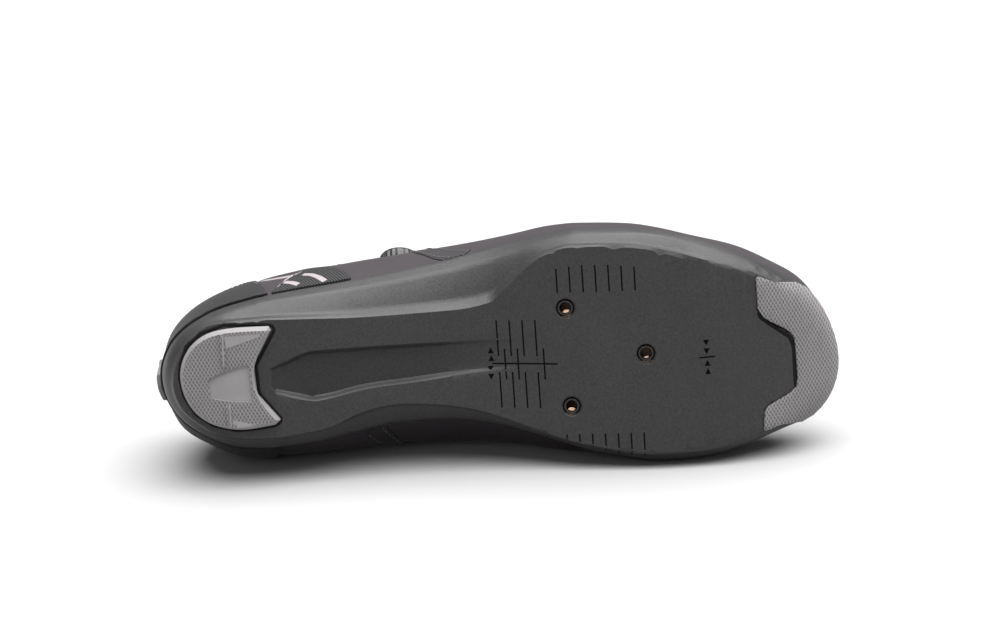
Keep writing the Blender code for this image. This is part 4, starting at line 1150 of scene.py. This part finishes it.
class SHOE_OT_closure(bpy.types.Operator):
    """Dial, guides and lace wire"""

    bl_idname = "shoe.closure"
    bl_label = "Closure"

    def execute(self, context):
        closure = context.scene.shoe_closure
        plastic = hard_plastic("closure_plastic", closure.plastic, 0.38)
        nodes = [("dial", "dial_knob"), ("dial_base", "dial_foot")]
        guides = ("lateral_1", "lateral_2", "medial_1", "medial_2")
        nodes += [(f"lace_guide_{guide}", f"guide_{guide}") for guide in guides]
        for node, name in nodes:
            made = node_copy(node, name)
            soften(made, closure.bevel, EDGE_ANGLE)
            soft_shade(made, radians(40))
            paint(made, plastic)
            settle(made, node)
        made = node_copy("lace_wire", "steel_lace")
        soft_shade(made, radians(70))
        paint(made, turned_steel("wire_strand", closure.wire))
        settle(made, "lace_wire")
        return {"FINISHED"}


class SHOE_OT_stage(bpy.types.Operator):
    """Pale floor, soft light and the camera"""

    bl_idname = "shoe.stage"
    bl_label = "Stage"

    def execute(self, context):
        stage = context.scene.shoe_stage
        deselect()
        bpy.ops.mesh.primitive_plane_add(size=FLOOR_SIZE, location=(0, 0, 0))
        floor = context.object
        floor.name = "floor"
        ground = Finish("floor_pale", stage.floor, 0.9, Specular_IOR_Level=0.1)
        paint(floor, ground.made)
        world = bpy.data.worlds.new("studio")
        world.use_nodes = True
        air = world.node_tree.nodes["Background"]
        air.inputs["Color"].default_value = (1, 1, 1, 1)
        air.inputs["Strength"].default_value = stage.air
        context.scene.world = world
        context.scene.view_settings.view_transform = "Standard"
        sky = bpy.data.lights.new("key", "SUN")
        sky.energy = stage.key
        sky.angle = KEY_SPREAD
        card = bpy.data.lights.new("front", "AREA")
        card.energy = stage.front
        card.size = CARD_SIZE
        for source, place in ((sky, KEY_PLACE), (card, CARD_PLACE)):
            lamp = bpy.data.objects.new(source.name, source)
            context.scene.collection.objects.link(lamp)
            lamp.location = place
            lamp.rotation_euler = (LAMP_AIM - Vector(place)).to_track_quat("-Z", "Y").to_euler()
        tilt, roll = stage.tilt, stage.roll
        ahead = Vector((0, sin(tilt), cos(tilt)))
        up = Vector((0, -cos(tilt), sin(tilt)))
        right = Vector((1, 0, 0))
        turn = SHOE.to_3x3()
        place = on_shoe(*CAMERA_AIM) - turn @ ahead * stage.distance
        side = turn @ (right * cos(roll) - up * sin(roll))
        top = turn @ (right * sin(roll) + up * cos(roll))
        eye = bpy.data.cameras.new("camera")
        eye.sensor_width = SENSOR_WIDTH
        eye.lens = FOCAL_PIXELS * SENSOR_WIDTH / PICTURE_WIDTH
        camera = bpy.data.objects.new("camera", eye)
        context.scene.collection.objects.link(camera)
        axes = Matrix((side, top, -(turn @ ahead))).transposed()
        camera.matrix_world = Matrix.Translation(place) @ axes.to_4x4()
        context.scene.camera = camera
        return {"FINISHED"}


class SHOE_PT_panel(bpy.types.Panel):
    """Lists the shoe's pieces and their settings"""

    bl_idname = "SHOE_PT_panel"
    bl_label = "Road cycling shoe"
    bl_space_type = "VIEW_3D"
    bl_region_type = "UI"
    bl_category = "Shoe"

    def draw(self, context):
        for operator in STEPS:
            self.layout.operator(operator.bl_idname)
        for name, _ in GROUPS:
            group = getattr(context.scene, name)
            for key in group.bl_rna.properties.keys():
                if key not in ("rna_type", "name"):
                    self.layout.prop(group, key)


STEPS = (
    SHOE_OT_sole,
    SHOE_OT_marks,
    SHOE_OT_grooves,
    SHOE_OT_pads,
    SHOE_OT_inserts,
    SHOE_OT_upper,
    SHOE_OT_overlays,
    SHOE_OT_inside,
    SHOE_OT_closure,
    SHOE_OT_stage,
)
GROUPS = (
    ("shoe_sole", ShoeSoleSettings),
    ("shoe_upper", ShoeUpperSettings),
    ("shoe_closure", ShoeClosureSettings),
    ("shoe_stage", ShoeStageSettings),
)


def register():
    for name, group in GROUPS:
        bpy.utils.register_class(group)
        setattr(bpy.types.Scene, name, bpy.props.PointerProperty(type=group))
    for made in STEPS + (SHOE_PT_panel,):
        bpy.utils.register_class(made)


def unregister():
    for made in reversed(STEPS + (SHOE_PT_panel,)):
        bpy.utils.unregister_class(made)
    for name, group in reversed(GROUPS):
        delattr(bpy.types.Scene, name)
        bpy.utils.unregister_class(group)


def main():
    register()
    for step in STEPS:
        kind, name = step.bl_idname.split(".")
        getattr(getattr(bpy.ops, kind), name)()


if __name__ == "__main__":
    main()
